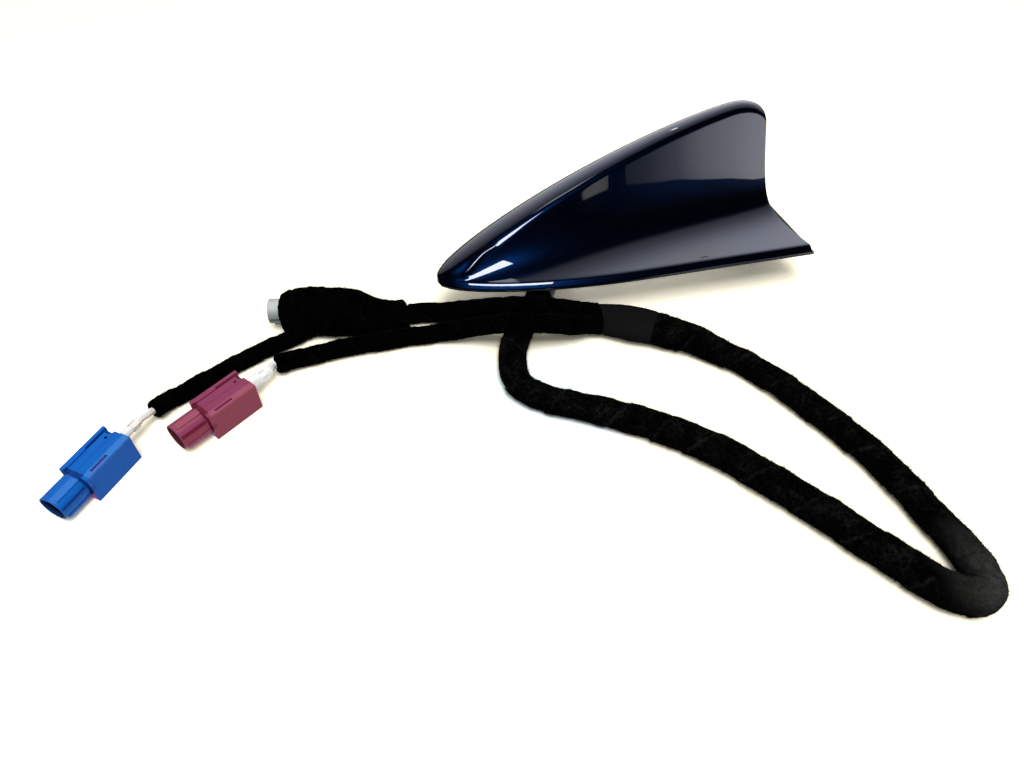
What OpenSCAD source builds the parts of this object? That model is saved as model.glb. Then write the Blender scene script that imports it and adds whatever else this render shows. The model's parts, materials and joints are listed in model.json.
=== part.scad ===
// Roof antenna of a car: a painted fin on a die-cast base, with a fleece-taped coaxial
// harness that ends in three keyed plugs. Millimetres.
// +Z points up, away from the roof, and z = 0 is the roof skin under the rubber seal.
// +X points to the fin's tail, and the origin is the middle of the hole in the roof.

/* [Fin] */
// Length of the fin from nose to rear corners
fin_l = 157; // [150:1:165]
// Width of the fin across its rear corners
fin_w = 65; // [60:1:70]
// Height of the crown above the roof
fin_h = 58.6; // [56:0.1:62]
// Distance from the nose to the crown
crown_x = 123; // [118:1:128]
// Distance from the nose to the end of the ridge
blade_x = 137.5; // [135:0.5:140]
// Height at which the ridge turns down into the trailing edge
trail_z = 49; // [44:1:52]
// Height of the ridge at the nose
nose_z = 4.8; // [4.2:0.1:5.4]
// Half width of the ridge band near the nose
ridge_half = 12; // [9:0.5:13]
// Half width of the ridge band at the trailing edge
blade_half = 3; // [2.5:0.1:4]
// Lean of the trailing edge, from its top to its foot
lean = 9; // [7:0.5:10]
// Sweep of the flared foot behind the trailing edge
sweep = 7; // [6:0.5:8]
// Hollow of the rear face between its two corners
rear_sag = 8; // [4:0.5:10]
// Wall of the painted cover
wall = 1.8; // [1.4:0.1:2.2]
// Width of the solid lip round the cavity
lip_w = 6.5; // [5:0.5:8]
// Width of the cavity at the seal
cavity_w = 34; // [30:1:36]

/* [Base] */
// Distance from the nose to the middle of the roof hole
nose_x = 55; // [52:1:58]
// Thickness of the rubber seal
seal_h = 1.2; // [1:0.1:1.6]
// Thickness of the base plate
plate_t = 2.5; // [2:0.1:3]
// Length of the boss that fits the roof hole
boss_l = 29; // [27:1:31]
// Width of the boss
boss_w = 15; // [14:0.5:17]
// Depth of the boss below the roof skin
boss_h = 6; // [4:0.5:7]
// Diameter of the threaded stud
stud_d = 8; // [6:1:8]
// Reach of the stud below the roof skin
stud_reach = 15; // [12:1:16]

/* [Electronics] */
// Width of the circuit board
board_w = 19; // [18:0.5:19.5]
// Thickness of the circuit board
board_t = 1; // [0.8:0.1:1.2]
// Side of the square ceramic patch
patch_a = 18; // [16:0.5:18]
// Thickness of the ceramic patch
patch_t = 4; // [3:0.5:4]
// Thickness of the sheet-metal aerials
sheet_t = 0.4; // [0.3:0.05:0.4]

/* [Harness] */
// Height of the roof skin above the table that the harness lies on
table_h = 17.5; // [17:0.5:18]
// Diameter of the boot where the taped trunk leaves it
trunk_d = 11; // [10.4:0.1:11]
// Diameter of the upper branch
upper_d = 8.2; // [7.8:0.1:8.4]
// Diameter of the lower branch
lower_d = 7.4; // [7:0.1:7.6]
// Diameter of the branch to the blue plug
blue_d = 6.8; // [6:0.2:7.2]
// Diameter of one coaxial lead
coax_d = 2.8; // [2.6:0.1:3]

/* [Plugs] */
// Length of a plug's block
plug_l = 20.4; // [20:0.1:21]
// Width and height of a plug's block
plug_w = 12.1; // [12:0.1:12.4]
// Length of the round neck in front of the block
neck_l = 11.2; // [10:0.1:11.5]
// Outer diameter of the neck
neck_d = 10.2; // [9.8:0.1:10.2]
// Inner diameter of the neck
neck_bore = 8.8; // [8.2:0.1:8.8]

/* [Hidden] */
$fn = 48;

paint = [0.02, 0.04, 0.12];
rubber = [0.05, 0.05, 0.05];
tape = [0.07, 0.07, 0.08];
nickel = [0.80, 0.79, 0.75];
steel = [0.62, 0.64, 0.66];
blue = [0.05, 0.32, 0.72];
bordeaux = [0.45, 0.12, 0.25];
grey = [0.45, 0.49, 0.50];
violet = [0.50, 0.10, 0.45];

// Heights in the stack above the roof skin
plate_top = seal_h + plate_t;
board_z = plate_top + 1.3;
board_top = board_z + board_t;
floor_z = -table_h;

// Plan outline of the fin: a straight flare with a rounded nose
flare_gain = 0.47;
nose_end = 0.5235;
nose_p = 2.16;
nose_q = 0.5;
function nose_round(t) = t >= nose_end ? 1 : pow(1 - pow(1 - max(t, 0) / nose_end, nose_p), nose_q);
function half(x) =
    let (t = min(x / fin_l, 1))
    fin_w / 2 * (1 + flare_gain * (t - 1)) * nose_round(t);

// Ridge: a rising curve to the crown, then a quarter ellipse down to the trailing edge
ridge_a = 1.36;
ridge_c = 0.81;
function ridge_z(x) = x < crown_x
    ? nose_z + (fin_h - nose_z) * pow(1 - pow(1 - x / crown_x, ridge_a), ridge_c)
    : trail_z + (fin_h - trail_z) * sqrt(max(0, 1 - pow((x - crown_x) / (blade_x - crown_x), 2)));

// Crease between the ridge band and the hollow flank
function band_half(x) =
    let (b = ridge_half + (blade_half - ridge_half) * pow(x / blade_x, 0.34), w = 0.8 * half(x))
    w < 0.01 ? 0 : 1 / sqrt(1 / (w * w) + 1 / (b * b));
function lip_z(x) = 3 + 1.8 * x / blade_x;
function crease_z(x) =
    let (z = ridge_z(x), drop = 0.57 + 0.26 * x / blade_x)
    z - min(max(drop * band_half(x), 0.15), 0.4 * (z - lip_z(x)));

// Flank: a hyperbola from the crease (s = 1) out to the lip (s = 0)
function bend(x) = 1 + 24 * pow(x / blade_x, 2.6);
function flank(x, s) = (1 - s) / (1 + bend(x) * s);
function shear(x) = pow(x / blade_x, 3);
function shear_x(x, s) = x + shear(x) * (lean * (1 - s) + sweep * flank(x, s));
function lip_roll(x) = min(3, 0.35 * half(x));
function foot_half(x) = half(shear_x(x, 0) + 1.5 * shear(x));

// One half section of the outer skin: ridge, band, flank, rolled lip, seal edge
band_n = 4;
flank_n = 11;
roll_a = [25, 50, 75, 100];
function flank_s(i) = pow(1 - i / flank_n, 1.7);
function outer_half(x) =
    let (
        w = foot_half(x), r = lip_roll(x), wf = w - r, b = min(band_half(x), wf),
        zr = ridge_z(x), zc = crease_z(x), zl = lip_z(x), zm = (zl + seal_h) / 2,
        foot = shear_x(x, 0), out = 1.5 * shear(x)
    )
    concat(
        [for (i = [0:band_n - 1]) let (a = 75 * i / band_n)
            [x, b * sin(a) / sin(75), zr - (zr - zc) * (1 - cos(a)) / (1 - cos(75))]],
        [for (i = [0:flank_n]) let (s = flank_s(i))
            [shear_x(x, s), b + (wf - b) * flank(x, s), zl + (zc - zl) * s]],
        [for (a = roll_a) [foot + out * sin(min(a, 90)), wf + r * sin(a), zm + (zl - zm) * cos(a)]],
        [[foot + 0.8 * out, wf + 0.8 * r, seal_h]]
    );

// Half width of the outer skin at a height, for the wall of the cavity
function skin_half(x, z) =
    let (zl = lip_z(x), zc = crease_z(x), wf = foot_half(x) - lip_roll(x),
        b = min(band_half(x), wf), s = min(1, max(0, (z - zl) / (zc - zl))))
    b + (wf - b) * flank(x, s);
function cavity_half(x) = max(0.3, min(half(x) - lip_w, cavity_w / 2));

// One half section of the cavity, with as many points as the outer skin
half_n = band_n + flank_n + 1 + len(roll_a);
function inner_half(x) =
    let (
        zr = ridge_z(x) - 1.25 * wall, zc = crease_z(x) - 0.9 * wall,
        b = max(0.3, min(band_half(x) - 0.85 * wall, cavity_half(x))), top = max(zr, seal_h + 0.6),
        mid = min(zc, top - 0.1), n = half_n - band_n
    )
    concat(
        [for (i = [0:band_n - 1]) let (a = 75 * i / band_n)
            [x, b * sin(a) / sin(75), top - (top - mid) * (1 - cos(a)) / (1 - cos(75))]],
        [for (i = [0:n]) let (h = pow(1 - i / n, 1.7), z = seal_h + (mid - seal_h) * h)
            [x + shear(x) * (0.9 * lean * (1 - h) + 4 * pow(1 - h, 4)),
                max(0.3, min(cavity_half(x), skin_half(x, z + 0.7 * wall) - 0.85 * wall)), z]]
    );

// Stations along the fin, closer at the nose and at the trailing edge
station_n = 30;
cap_n = 8;
function station(i) = (1 - cos(180 * i / station_n)) / 2;
function outer_x(i) = blade_x * station(i);
function inner_x(i) = 9 + (blade_x - 7 - 9) * station(i);

// A closed skin: rings over the stations, folded shut at the nose, and a hollow rear cap
function left(p) = [p[0] - nose_x, -p[1], p[2]];
function right(p) = [p[0] - nose_x, p[1], p[2]];
function cap_x(p, y, bulge, sag, half_w) =
    let (f = min(1, p[1] / half_w))
    p[0] - nose_x + (bulge * (1 - f) - sag * f) * (1 - pow(y / max(p[1], 0.01), 2));
function skin_points(sections, bulge, sag) =
    let (last = sections[station_n], wide = fin_w / 2)
    concat(
        [for (sec = sections) each [for (j = [0:half_n]) left(sec[j])]],
        [for (sec = sections) each [for (j = [1:half_n]) right(sec[j])]],
        [for (j = [1:half_n]) each [for (k = [1:cap_n - 1])
            let (y = last[j][1] * (2 * k / cap_n - 1))
            [cap_x(last[j], y, bulge, sag, wide), y, last[j][2]]]]
    );
left_n = (station_n + 1) * (half_n + 1);
right_n = (station_n + 1) * half_n;
skin_n = left_n + right_n + half_n * (cap_n - 1);
function li(i, j) = i * (half_n + 1) + j;
function ri(i, j) = j == 0 ? li(i, 0) : i == 0 ? li(0, j) : left_n + i * half_n + j - 1;
function ci(j, k) = j == 0 ? li(station_n, 0)
    : k == 0 ? li(station_n, j)
    : k == cap_n ? ri(station_n, j)
    : left_n + right_n + (j - 1) * (cap_n - 1) + k - 1;
function skin_faces() = concat(
    [for (i = [0:station_n - 1]) each [for (j = [0:half_n - 1])
        each [[li(i, j), li(i + 1, j + 1), li(i, j + 1)], [li(i, j), li(i + 1, j), li(i + 1, j + 1)]]]],
    [for (i = [0:station_n - 1]) each [for (j = [0:half_n - 1])
        each [[ri(i, j), ri(i, j + 1), ri(i + 1, j + 1)], [ri(i, j), ri(i + 1, j + 1), ri(i + 1, j)]]]],
    [for (k = [0:cap_n - 1]) [ci(0, 0), ci(1, k + 1), ci(1, k)]],
    [for (j = [1:half_n - 1]) each [for (k = [0:cap_n - 1])
        each [[ci(j, k), ci(j + 1, k + 1), ci(j + 1, k)], [ci(j, k), ci(j, k + 1), ci(j + 1, k + 1)]]]]
);
// The foot of a skin, walked once round: near side, rear, far side
function foot_loop() = concat(
    [for (i = [0:station_n]) li(i, half_n)],
    [for (k = [1:cap_n - 1]) ci(half_n, k)],
    [for (i = [station_n:-1:1]) ri(i, half_n)]
);
function flip(faces, shift) = [for (f = faces) [f[0] + shift, f[2] + shift, f[1] + shift]];

module fin_shell() {
    outer = [for (i = [0:station_n]) outer_half(outer_x(i))];
    inner = [for (i = [0:station_n]) inner_half(inner_x(i))];
    loop = foot_loop();
    n = len(loop);
    rim = [for (i = [0:n - 1]) let (j = (i + 1) % n)
        each [[loop[i], loop[j] + skin_n, loop[i] + skin_n], [loop[i], loop[j], loop[j] + skin_n]]];
    polyhedron(
        points = concat(skin_points(outer, 1.2, rear_sag), skin_points(inner, 0.4, 2)),
        faces = concat(skin_faces(), flip(skin_faces(), skin_n), rim),
        convexity = 8
    );
}

// Screw posts stand inside the cover: one in the nose, two beside the board, two at the tail
post_d = 5.2;
post_pilot_d = 2.2;
post_y = 11.8;
nose_post_x = -36;
mid_post_x = 26;
tail_post_x = 66;
posts = [
    [nose_post_x, 0, 17], [mid_post_x, -post_y, 7.6], [mid_post_x, post_y, 7.6],
    [tail_post_x, -post_y, 7.2], [tail_post_x, post_y, 7.2]
];
screw_tip = 6.6;
module fin_cover() color(paint) difference() {
    union() {
        fin_shell();
        for (p = posts) translate([p[0], p[1], plate_top]) cylinder(d = post_d, h = p[2] - plate_top);
    }
    for (p = posts) translate([p[0], p[1], plate_top - 1])
        cylinder(d = post_pilot_d, h = screw_tip - plate_top + 1);
}

// Plan outlines that follow the fin, drawn in the part's frame
function plan(a, b, n, gap) = concat(
    [for (i = [0:n]) let (x = a + (b - a) * i / n) [x - nose_x, -gap_half(x, gap)]],
    [for (i = [n:-1:0]) let (x = a + (b - a) * i / n) [x - nose_x, gap_half(x, gap)]]
);
function gap_half(x, gap) = max(0.8, half(x) - gap);
function plate_plan(a, b, n, clear) = concat(
    [for (i = [0:n]) let (x = a + (b - a) * i / n) [x - nose_x, clear - cavity_half(x)]],
    [for (i = [n:-1:0]) let (x = a + (b - a) * i / n) [x - nose_x, cavity_half(x) - clear]]
);

module round_block(l, w, h, r) {
    translate([-l / 2 + r, -w / 2, 0]) cube([l - 2 * r, w, h]);
    translate([-l / 2, -w / 2 + r, 0]) cube([l, w - 2 * r, h]);
    for (x = [-1, 1], y = [-1, 1]) translate([x * (l / 2 - r), y * (w / 2 - r), 0]) cylinder(r = r, h = h);
}

// Base plate with its boss, board posts, screw seats and stiffening ribs
boss_r = 3;
cable_x = -7.5;
cable_hole_d = 9.4;
stud_x = 6.5;
stud_shank_d = stud_d + 0.6;
stud_head_d = 11;
stud_head_t = 1.5;
board_x0 = -1;
board_x1 = 73;
board_screws_at = [[11.5, -7.3], [11.5, 7.3], [49, -7.3], [49, 7.3]];
screw_head_d = 4.4;
screw_head_t = 1.1;
module base_plate() color(steel) difference() {
    union() {
        translate([0, 0, seal_h]) linear_extrude(plate_t) polygon(plate_plan(11, 138, 36, 0.8));
        translate([0, 0, -boss_h]) round_block(boss_l, boss_w, boss_h + seal_h + 1, boss_r);
        for (p = board_screws_at) translate([p[0], p[1], plate_top]) cylinder(d = 5, h = board_z - plate_top);
        for (y = [-4.2, 4.2]) translate([16, y - 0.6, plate_top]) cube([30, 1.2, 0.9]);
        for (x = [-28, -24, -20]) translate([x, -5, plate_top]) cube([1.2, 10, 1.6]);
    }
    translate([cable_x, 0, -boss_h - 1]) cylinder(d = cable_hole_d, h = boss_h + plate_top + 2);
    translate([stud_x, 0, -boss_h - 1]) cylinder(d = stud_shank_d, h = boss_h + plate_top + 2);
    translate([stud_x, 0, plate_top - stud_head_t]) cylinder(d = stud_head_d, h = stud_head_t + 1);
    for (p = board_screws_at) translate([p[0], p[1], 2.2]) cylinder(d = 2, h = 5);
    for (p = posts) translate([p[0], p[1], 0]) {
        cylinder(d = 2.6, h = 5);
        cylinder(d = screw_head_d + 0.4, h = seal_h + screw_head_t);
    }
}

// Flat rubber seal under the rim, with a groove between its two sealing lips
seal_in = lip_w + 2;
module seal_ring(a, b) difference() {
    polygon(plan(a, fin_l - a / 2, 48, a));
    polygon(plan(b + 2.5, fin_l - b - 4, 48, b));
}
module rim_seal() color(rubber) difference() {
    linear_extrude(seal_h) seal_ring(0.9, seal_in);
    translate([0, 0, -1]) linear_extrude(1.5) seal_ring(3.4, 5.2);
    translate([nose_post_x, 0, -1]) cylinder(d = screw_head_d + 0.8, h = 4);
}

module hole_seal() color(rubber) difference() {
    round_block(boss_l + 4.4, boss_w + 4.4, seal_h, boss_r + 1.2);
    translate([0, 0, -1]) round_block(boss_l, boss_w, seal_h + 2, boss_r);
}

module roof_stud() color(steel) translate([stud_x, 0, 0]) {
    translate([0, 0, -boss_h]) cylinder(d = stud_shank_d, h = boss_h + plate_top - stud_head_t / 2);
    translate([0, 0, 0.8 - stud_reach]) cylinder(d = stud_d, h = stud_reach - boss_h);
    translate([0, 0, -stud_reach]) cylinder(d1 = stud_d - 1.6, d2 = stud_d, h = 0.8);
    translate([0, 0, plate_top - stud_head_t]) cylinder(d = stud_head_d, h = stud_head_t);
}

// Circuit board and what stands on it
patch_x = 24;
feed_x = 1.8;
can_x = 34.5;
can_l = 12;
can_w = 13;
can_h = 3;
can_t = 0.3;
holder_x0 = 52;
holder_x1 = 72;
holder_w = 8;
holder_h = 3;
leg_x = 62;
leg_w = 4;
web_t = 1.8;
module main_board() color([0.05, 0.25, 0.12]) difference() {
    translate([board_x0, -board_w / 2, board_z]) cube([board_x1 - board_x0, board_w, board_t]);
    for (p = board_screws_at) translate([p[0], p[1], board_z - 1]) cylinder(d = 2.2, h = 4);
    for (x = [mid_post_x, tail_post_x], y = [-post_y, post_y])
        translate([x, y, board_z - 1]) cylinder(d = post_d + 0.6, h = 4);
    translate([patch_x + feed_x, 0, board_z - 1]) cylinder(d = 1, h = 4);
}

module patch_ceramic() color([0.82, 0.76, 0.62]) difference() {
    translate([patch_x - patch_a / 2, -patch_a / 2, board_top]) cube([patch_a, patch_a, patch_t]);
    translate([patch_x + feed_x, 0, board_top - 1]) cylinder(d = 1, h = patch_t + 2);
}

electrode_a = 14;
electrode_t = 0.15;
electrode_cut = 2;
module patch_electrode() color([0.85, 0.85, 0.83]) translate([patch_x, 0, board_top + patch_t]) difference() {
    linear_extrude(electrode_t) let (a = electrode_a / 2, c = electrode_cut)
        polygon([[-a + c, -a], [a, -a], [a, a - c], [a - c, a], [-a, a], [-a, -a + c]]);
    translate([feed_x, 0, -1]) cylinder(d = 1, h = 3);
}

module patch_pin() color(nickel) translate([patch_x + feed_x, 0, board_z]) {
    cylinder(d = 1, h = board_t + patch_t + electrode_t);
    translate([0, 0, board_t + patch_t + electrode_t]) cylinder(d = 2, h = 0.4);
}

module shield_can() color(nickel) translate([can_x, 0, board_top]) difference() {
    translate([0, -can_w / 2, 0]) cube([can_l, can_w, can_h]);
    translate([can_t, can_t - can_w / 2, -1]) cube([can_l - 2 * can_t, can_w - 2 * can_t, can_h + 1 - can_t]);
    for (x = [3, 6, 9], y = [-3, 0, 3]) translate([x, y, 0]) cylinder(d = 1.2, h = can_h + 1);
}

// Plastic holder with a web that follows the fin, and an aerial on each side of it
module upright(y, t) translate([0, y + t, 0]) rotate([90, 0, 0]) linear_extrude(t) children();
module web_plan()
    polygon([[54, 8], [71.5, 8], [73, 30], [73.5, 45], [66, 51], [56, 48], [49, 43.5], [49, 20]]);
module leg_slots(y) translate([leg_x - 0.1, y, 0]) cube([leg_w + 0.2, sheet_t, 30]);
module element_holder() color([0.16, 0.16, 0.17]) difference() {
    union() {
        translate([holder_x0, -holder_w / 2, board_top])
            cube([holder_x1 - holder_x0, holder_w, holder_h]);
        upright(-web_t / 2, web_t) web_plan();
    }
    leg_slots(-web_t / 2 - sheet_t);
    leg_slots(web_t / 2);
    for (z = [22, 30, 38]) upright(-web_t, 2 * web_t) translate([53, z]) square([14, 3]);
}

module phone_plan() difference() {
    polygon([[50, 20.5], [72, 20.5], [72.6, 44], [66, 49.5], [57, 47], [50, 42.5]]);
    translate([54, 24]) square([19, 1.6]);
    translate([49, 33]) square([19, 1.6]);
}
module phone_element() color([0.78, 0.62, 0.30]) upright(-web_t / 2 - sheet_t, sheet_t) {
    phone_plan();
    translate([leg_x, board_top]) square([leg_w, 14.5]);
}

meander_n = 7;
meander_pitch = 3.4;
meander_w = 1.4;
module meander_plan() {
    for (i = [0:meander_n - 1]) translate([54, 18 + i * meander_pitch]) square([15, meander_w]);
    for (i = [0:meander_n - 2]) translate([i % 2 == 0 ? 54 : 69 - meander_w, 18 + i * meander_pitch])
        square([meander_w, meander_pitch + meander_w]);
    translate([leg_x, board_top]) square([leg_w, 12.5]);
}
module remote_element() color([0.72, 0.45, 0.30]) upright(web_t / 2, sheet_t) meander_plan();

// Swept tubes: one ring at each row [x, y, z, width, height] of a route, square to it
function unit(v) = v / norm(v);
function at(p) = [p[0], p[1], p[2]];
function along(rows, i) = unit(at(rows[min(i + 1, len(rows) - 1)]) - at(rows[max(i - 1, 0)]));
function sgn_pow(v, e) = sign(v) * pow(abs(v), e);
function ring(row, t, up, sides, e) =
    let (side = unit(cross(up, t)), top = cross(t, side), w = row[3] / 2,
        h = len(row) > 4 ? row[4] / 2 : w)
    [for (k = [0:sides - 1]) let (a = 360 * (k + 0.5) / sides)
        at(row) + w * sgn_pow(cos(a), e) * side + h * sgn_pow(sin(a), e) * top];
module sweep_tube(rows, sides, up = [0, 0, 1], e = 1) {
    n = len(rows);
    wall_faces = [for (i = [0:n - 2]) each [for (k = [0:sides - 1]) let (m = (k + 1) % sides)
        each [[i * sides + k, (i + 1) * sides + m, i * sides + m],
            [i * sides + k, (i + 1) * sides + k, (i + 1) * sides + m]]]];
    first = [for (k = [0:sides - 1]) k];
    last = [for (k = [sides - 1:-1:0]) (n - 1) * sides + k];
    polyhedron(
        points = [for (i = [0:n - 1]) each ring(rows[i], along(rows, i), up, sides, e)],
        faces = concat(wall_faces, [first, last]),
        convexity = 10
    );
}
// Rows of one width, and a row that lies on the table
function even(points, d) = [for (p = points) [p[0], p[1], p[2], d]];
function lie(x, y, d) = [x, y, floor_z + 0.483 * d, d];

// Coaxial leads from the board down into the boot
lead_d = 2.4;
lead_z = board_top + lead_d / 2;
boot_flange_t = 0.8;
boot_top = plate_top + boot_flange_t;
function lead_route(y) = [
    [cable_x, y, boot_top], [cable_x, y, 5.6], [-7.1, y, 6.6], [-6.2, y, 7.1],
    [-4.8, y, lead_z], [2, y, lead_z], [8, y, lead_z]
];
module inner_lead(y) color(rubber) sweep_tube(even(lead_route(y), lead_d), 8, [0, 1, 0]);
lead_gap = 2.6;
module inner_lead_gps() inner_lead(-lead_gap);
module inner_lead_phone() inner_lead(0);
module inner_lead_remote() inner_lead(lead_gap);

module lead_clamp() color(steel) difference() {
    translate([1.5, -5.2, board_top]) cube([3.5, 10.4, lead_d + 0.7]);
    for (y = [-lead_gap, 0, lead_gap]) translate([1, y, lead_z]) {
        rotate([0, 90, 0]) cylinder(d = lead_d, h = 5);
        translate([0, -lead_d / 2, -lead_z]) cube([5, lead_d, lead_z]);
    }
}

// Rubber boot: plugs into the boss and turns the harness towards the near side
boot_dir = [-0.6, -0.8, 0];
boot_bend = 6;
boot_collar = 3.5;
boot_end = [cable_x, 0, -boss_h - boot_bend] + boot_dir * (boot_bend + boot_collar);
module cable_boot() color(rubber) translate([cable_x, 0, 0]) {
    translate([0, 0, plate_top]) cylinder(d = cable_hole_d + 2, h = boot_flange_t);
    translate([0, 0, -boss_h]) cylinder(d = cable_hole_d, h = boss_h + plate_top);
    translate([0, 0, -boss_h]) rotate([0, 0, atan2(-0.8, -0.6)]) {
        translate([boot_bend, 0, 0]) rotate([90, 0, 0]) rotate([0, 0, 180])
            rotate_extrude(angle = 90) translate([boot_bend, 0]) circle(d = trunk_d);
        translate([boot_bend, 0, -boot_bend]) rotate([0, 90, 0]) cylinder(d = trunk_d, h = boot_collar);
    }
}

module cover_screws() color(steel) for (p = posts) translate([p[0], p[1], seal_h]) {
    cylinder(d = screw_head_d, h = screw_head_t);
    cylinder(d = post_pilot_d, h = screw_tip - seal_h);
}
module board_screws() color(steel) for (p = board_screws_at) translate([p[0], p[1], 2.2]) {
    cylinder(d = 2, h = board_top - 2.2);
    translate([0, 0, board_top - 2.2]) cylinder(d = 3.8, h = 1.3);
}

// Harness routes, centre line of each taped run, from the fin to the plugs
trunk_route = [
    [boot_end[0], boot_end[1], boot_end[2], trunk_d],
    [boot_end[0] - 2.4, boot_end[1] - 3.2, boot_end[2], trunk_d],
    lie(-20.5, -16, 10.8), lie(-25.8, -21.8, 10.8), lie(-29.4, -26.4, 10.8), lie(-32.4, -31.5, 10.7),
    lie(-34.8, -36.6, 10.7), lie(-36.8, -42.3, 10.6), lie(-37.6, -47.6, 10.5), lie(-36.9, -52.4, 10.3),
    lie(-34.6, -56.8, 10.1), lie(-30.4, -61.4, 10.1), lie(-20, -69, 10.2), lie(-8, -77.5, 10.6),
    lie(7, -90.5, 11), lie(19.5, -104.5, 11.4), lie(30, -120.5, 11.4), lie(40, -137.5, 11.4),
    lie(48.5, -153.5, 11.4), lie(56, -167, 11.6), lie(62, -175.8, 11.8), lie(66, -178.3, 12),
    lie(69.8, -178.7, 12), lie(72.6, -176.9, 11.7), lie(74.4, -173.4, 11.3), lie(75.3, -168.5, 11),
    lie(75.3, -162, 10.6), lie(74.3, -148.5, 10.2), lie(71.6, -126, 10), lie(65, -102.5, 10),
    lie(53.6, -74.5, 9.8), lie(45.7, -62.6, 10), [35.4, -50, -12, 12.8, 11.2],
    [28.4, -43.8, -12, 14.4, 11.3], [24.9, -40.9, -12, 15, 11.4]
];
trunk_n = len(trunk_route);
band_dir = along(trunk_route, trunk_n - 1);
split_at = [5.3, -28, -12.4];
split_dir = unit([-0.96, 0.2, 0.2]);
split_side = unit(cross([0, 0, 1], split_dir));
function row(p, w, h) = [p[0], p[1], p[2], w, h];
band_start = at(trunk_route[trunk_n - 1]);
band_route = [
    row(band_start, 15.4, 11.6), row(band_start + 3 * band_dir, 16.6, 11.6),
    [18.6, -36.1, -12, 17.6, 11.4], [12.4, -31.7, -12.2, 17, 10.8],
    row(split_at - 3 * split_dir, 16.2, 10), row(split_at, 15.8, 9.4)
];
lump_route = [
    [-69, -1.2, -12.5, 14, 9.8], [-76, -0.6, -12, 14, 10.8], [-84, 1.4, -11, 16.6, 12.8],
    [-92, 5.4, -9.9, 19.2, 15], [-102, 9.4, -9.8, 19.8, 15.4], [-109, 11.5, -9.8, 19.8, 15.4],
    [-114.2, 12.9, -9.8, 18.4, 14.8], [-117.4, 13.7, -9.9, 15.2, 13.4]
];
lump_dir = along(lump_route, 0);
lump_side = unit(cross([0, 0, 1], lump_dir));
lump_start = at(lump_route[0]) - 1.9 * lump_side - 0.7 * cross(lump_dir, lump_side);
upper_start = split_at - split_side * 4.1;
lower_start = split_at + split_side * 3.9;
upper_route = [
    upper_start, upper_start + split_dir * 4, [-4, -23.9, -8.8], [-12.5, -23.7, -5.2],
    [-20.8, -22.4, -2.9], [-28.4, -19.7, -2.9], [-35.6, -15.4, -5.4], [-42.6, -10.3, -8.6],
    [-50, -5.7, -11.6], [-57.2, -2.4, -13.1], [-62, -0.6, -13.4], lump_start - 3 * lump_dir, lump_start
];
lower_route = [
    lower_start, lower_start + split_dir * 4, [-6.6, -31.9, -9], [-15.5, -31.9, -5.6],
    [-23.7, -30.9, -3.4], [-31.3, -28.5, -3.2], [-38.5, -24.6, -5.4], [-45.5, -20.2, -8.9],
    [-52.9, -16.3, -11.9], [-60.8, -13.9, -13.5], [-71.7, -12.1, -13.9], [-83.1, -11.1, -13.9],
    [-94.3, -10, -13.9], [-105.2, -10, -13.9], [-115.2, -10.4, -13.7], [-124.6, -12.2, -12.4]
];
blue_route = [
    [-114.3, 3.1, -13.9], [-117, 2.6, -14.1], [-120.6, 1.5, -14.2], [-131.9, -2.1, -14.2],
    [-141.2, -5.9, -14.2], [-149.9, -9.8, -14.2], [-160.9, -14.8, -14.2], [-166.5, -17.9, -13.6],
    [-170.6, -21.6, -12.4]
];

module harness_trunk() color(tape) sweep_tube(trunk_route, 12);
module split_band() color([0.2, 0.2, 0.21]) sweep_tube(band_route, 12);
module upper_branch() color(tape) sweep_tube(even(upper_route, upper_d), 10);
module lower_branch() color(tape) sweep_tube(even(lower_route, lower_d), 10);
module blue_branch() color(tape) sweep_tube(even(blue_route, blue_d), 10);

// Plugs lie on the table. In a plug's frame the block starts at x = 0 and the neck points to +x
blue_at = [-181, -34.2, floor_z];
blue_turn = 228;
bordeaux_at = [-135.6, -22.6, floor_z];
bordeaux_turn = 212.5;
grey_at = [-92.5, 7.1, -16.5];
grey_turn = 164;
module at_blue() translate(blue_at) rotate([0, 0, blue_turn]) children();
module at_bordeaux() translate(bordeaux_at) rotate([0, 0, bordeaux_turn]) children();
module at_grey() translate(grey_at) rotate([0, 0, grey_turn]) children();

axis_y = -0.5;
axis_z = plug_w / 2 + 0.85;
mouth = plug_l + neck_l;
mouth_depth = 6;
shell_d = 6.4;
shell_t = 0.4;
shell_x0 = 2;
slot_x = 9.4;
slot_l = 7.4;
slot_y = 3.9;
slot_w = 1.2;
foot_y = -3.6;
foot_t = 1.6;
foot_corner = 3.2;
module barrel(x, l, d, y = axis_y) translate([x, y, axis_z]) rotate([0, 90, 0]) cylinder(d = d, h = l);
module rib(a, w, x0, x1, r) translate([x0, axis_y, axis_z]) rotate([a, 0, 0])
    translate([0, -w / 2, 0]) cube([x1 - x0, w, r]);

module lock_slab() {
    translate([slot_x, slot_y, foot_t]) cube([slot_l, slot_w, plug_w - foot_t - 1.1]);
    translate([slot_x, foot_y, 0]) cube([plug_l - slot_x, slot_y + slot_w - foot_y, foot_t]);
    translate([plug_l - 2.4, slot_y - 0.2, 0]) cube([2.4, slot_w + 0.2, foot_corner]);
}

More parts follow.
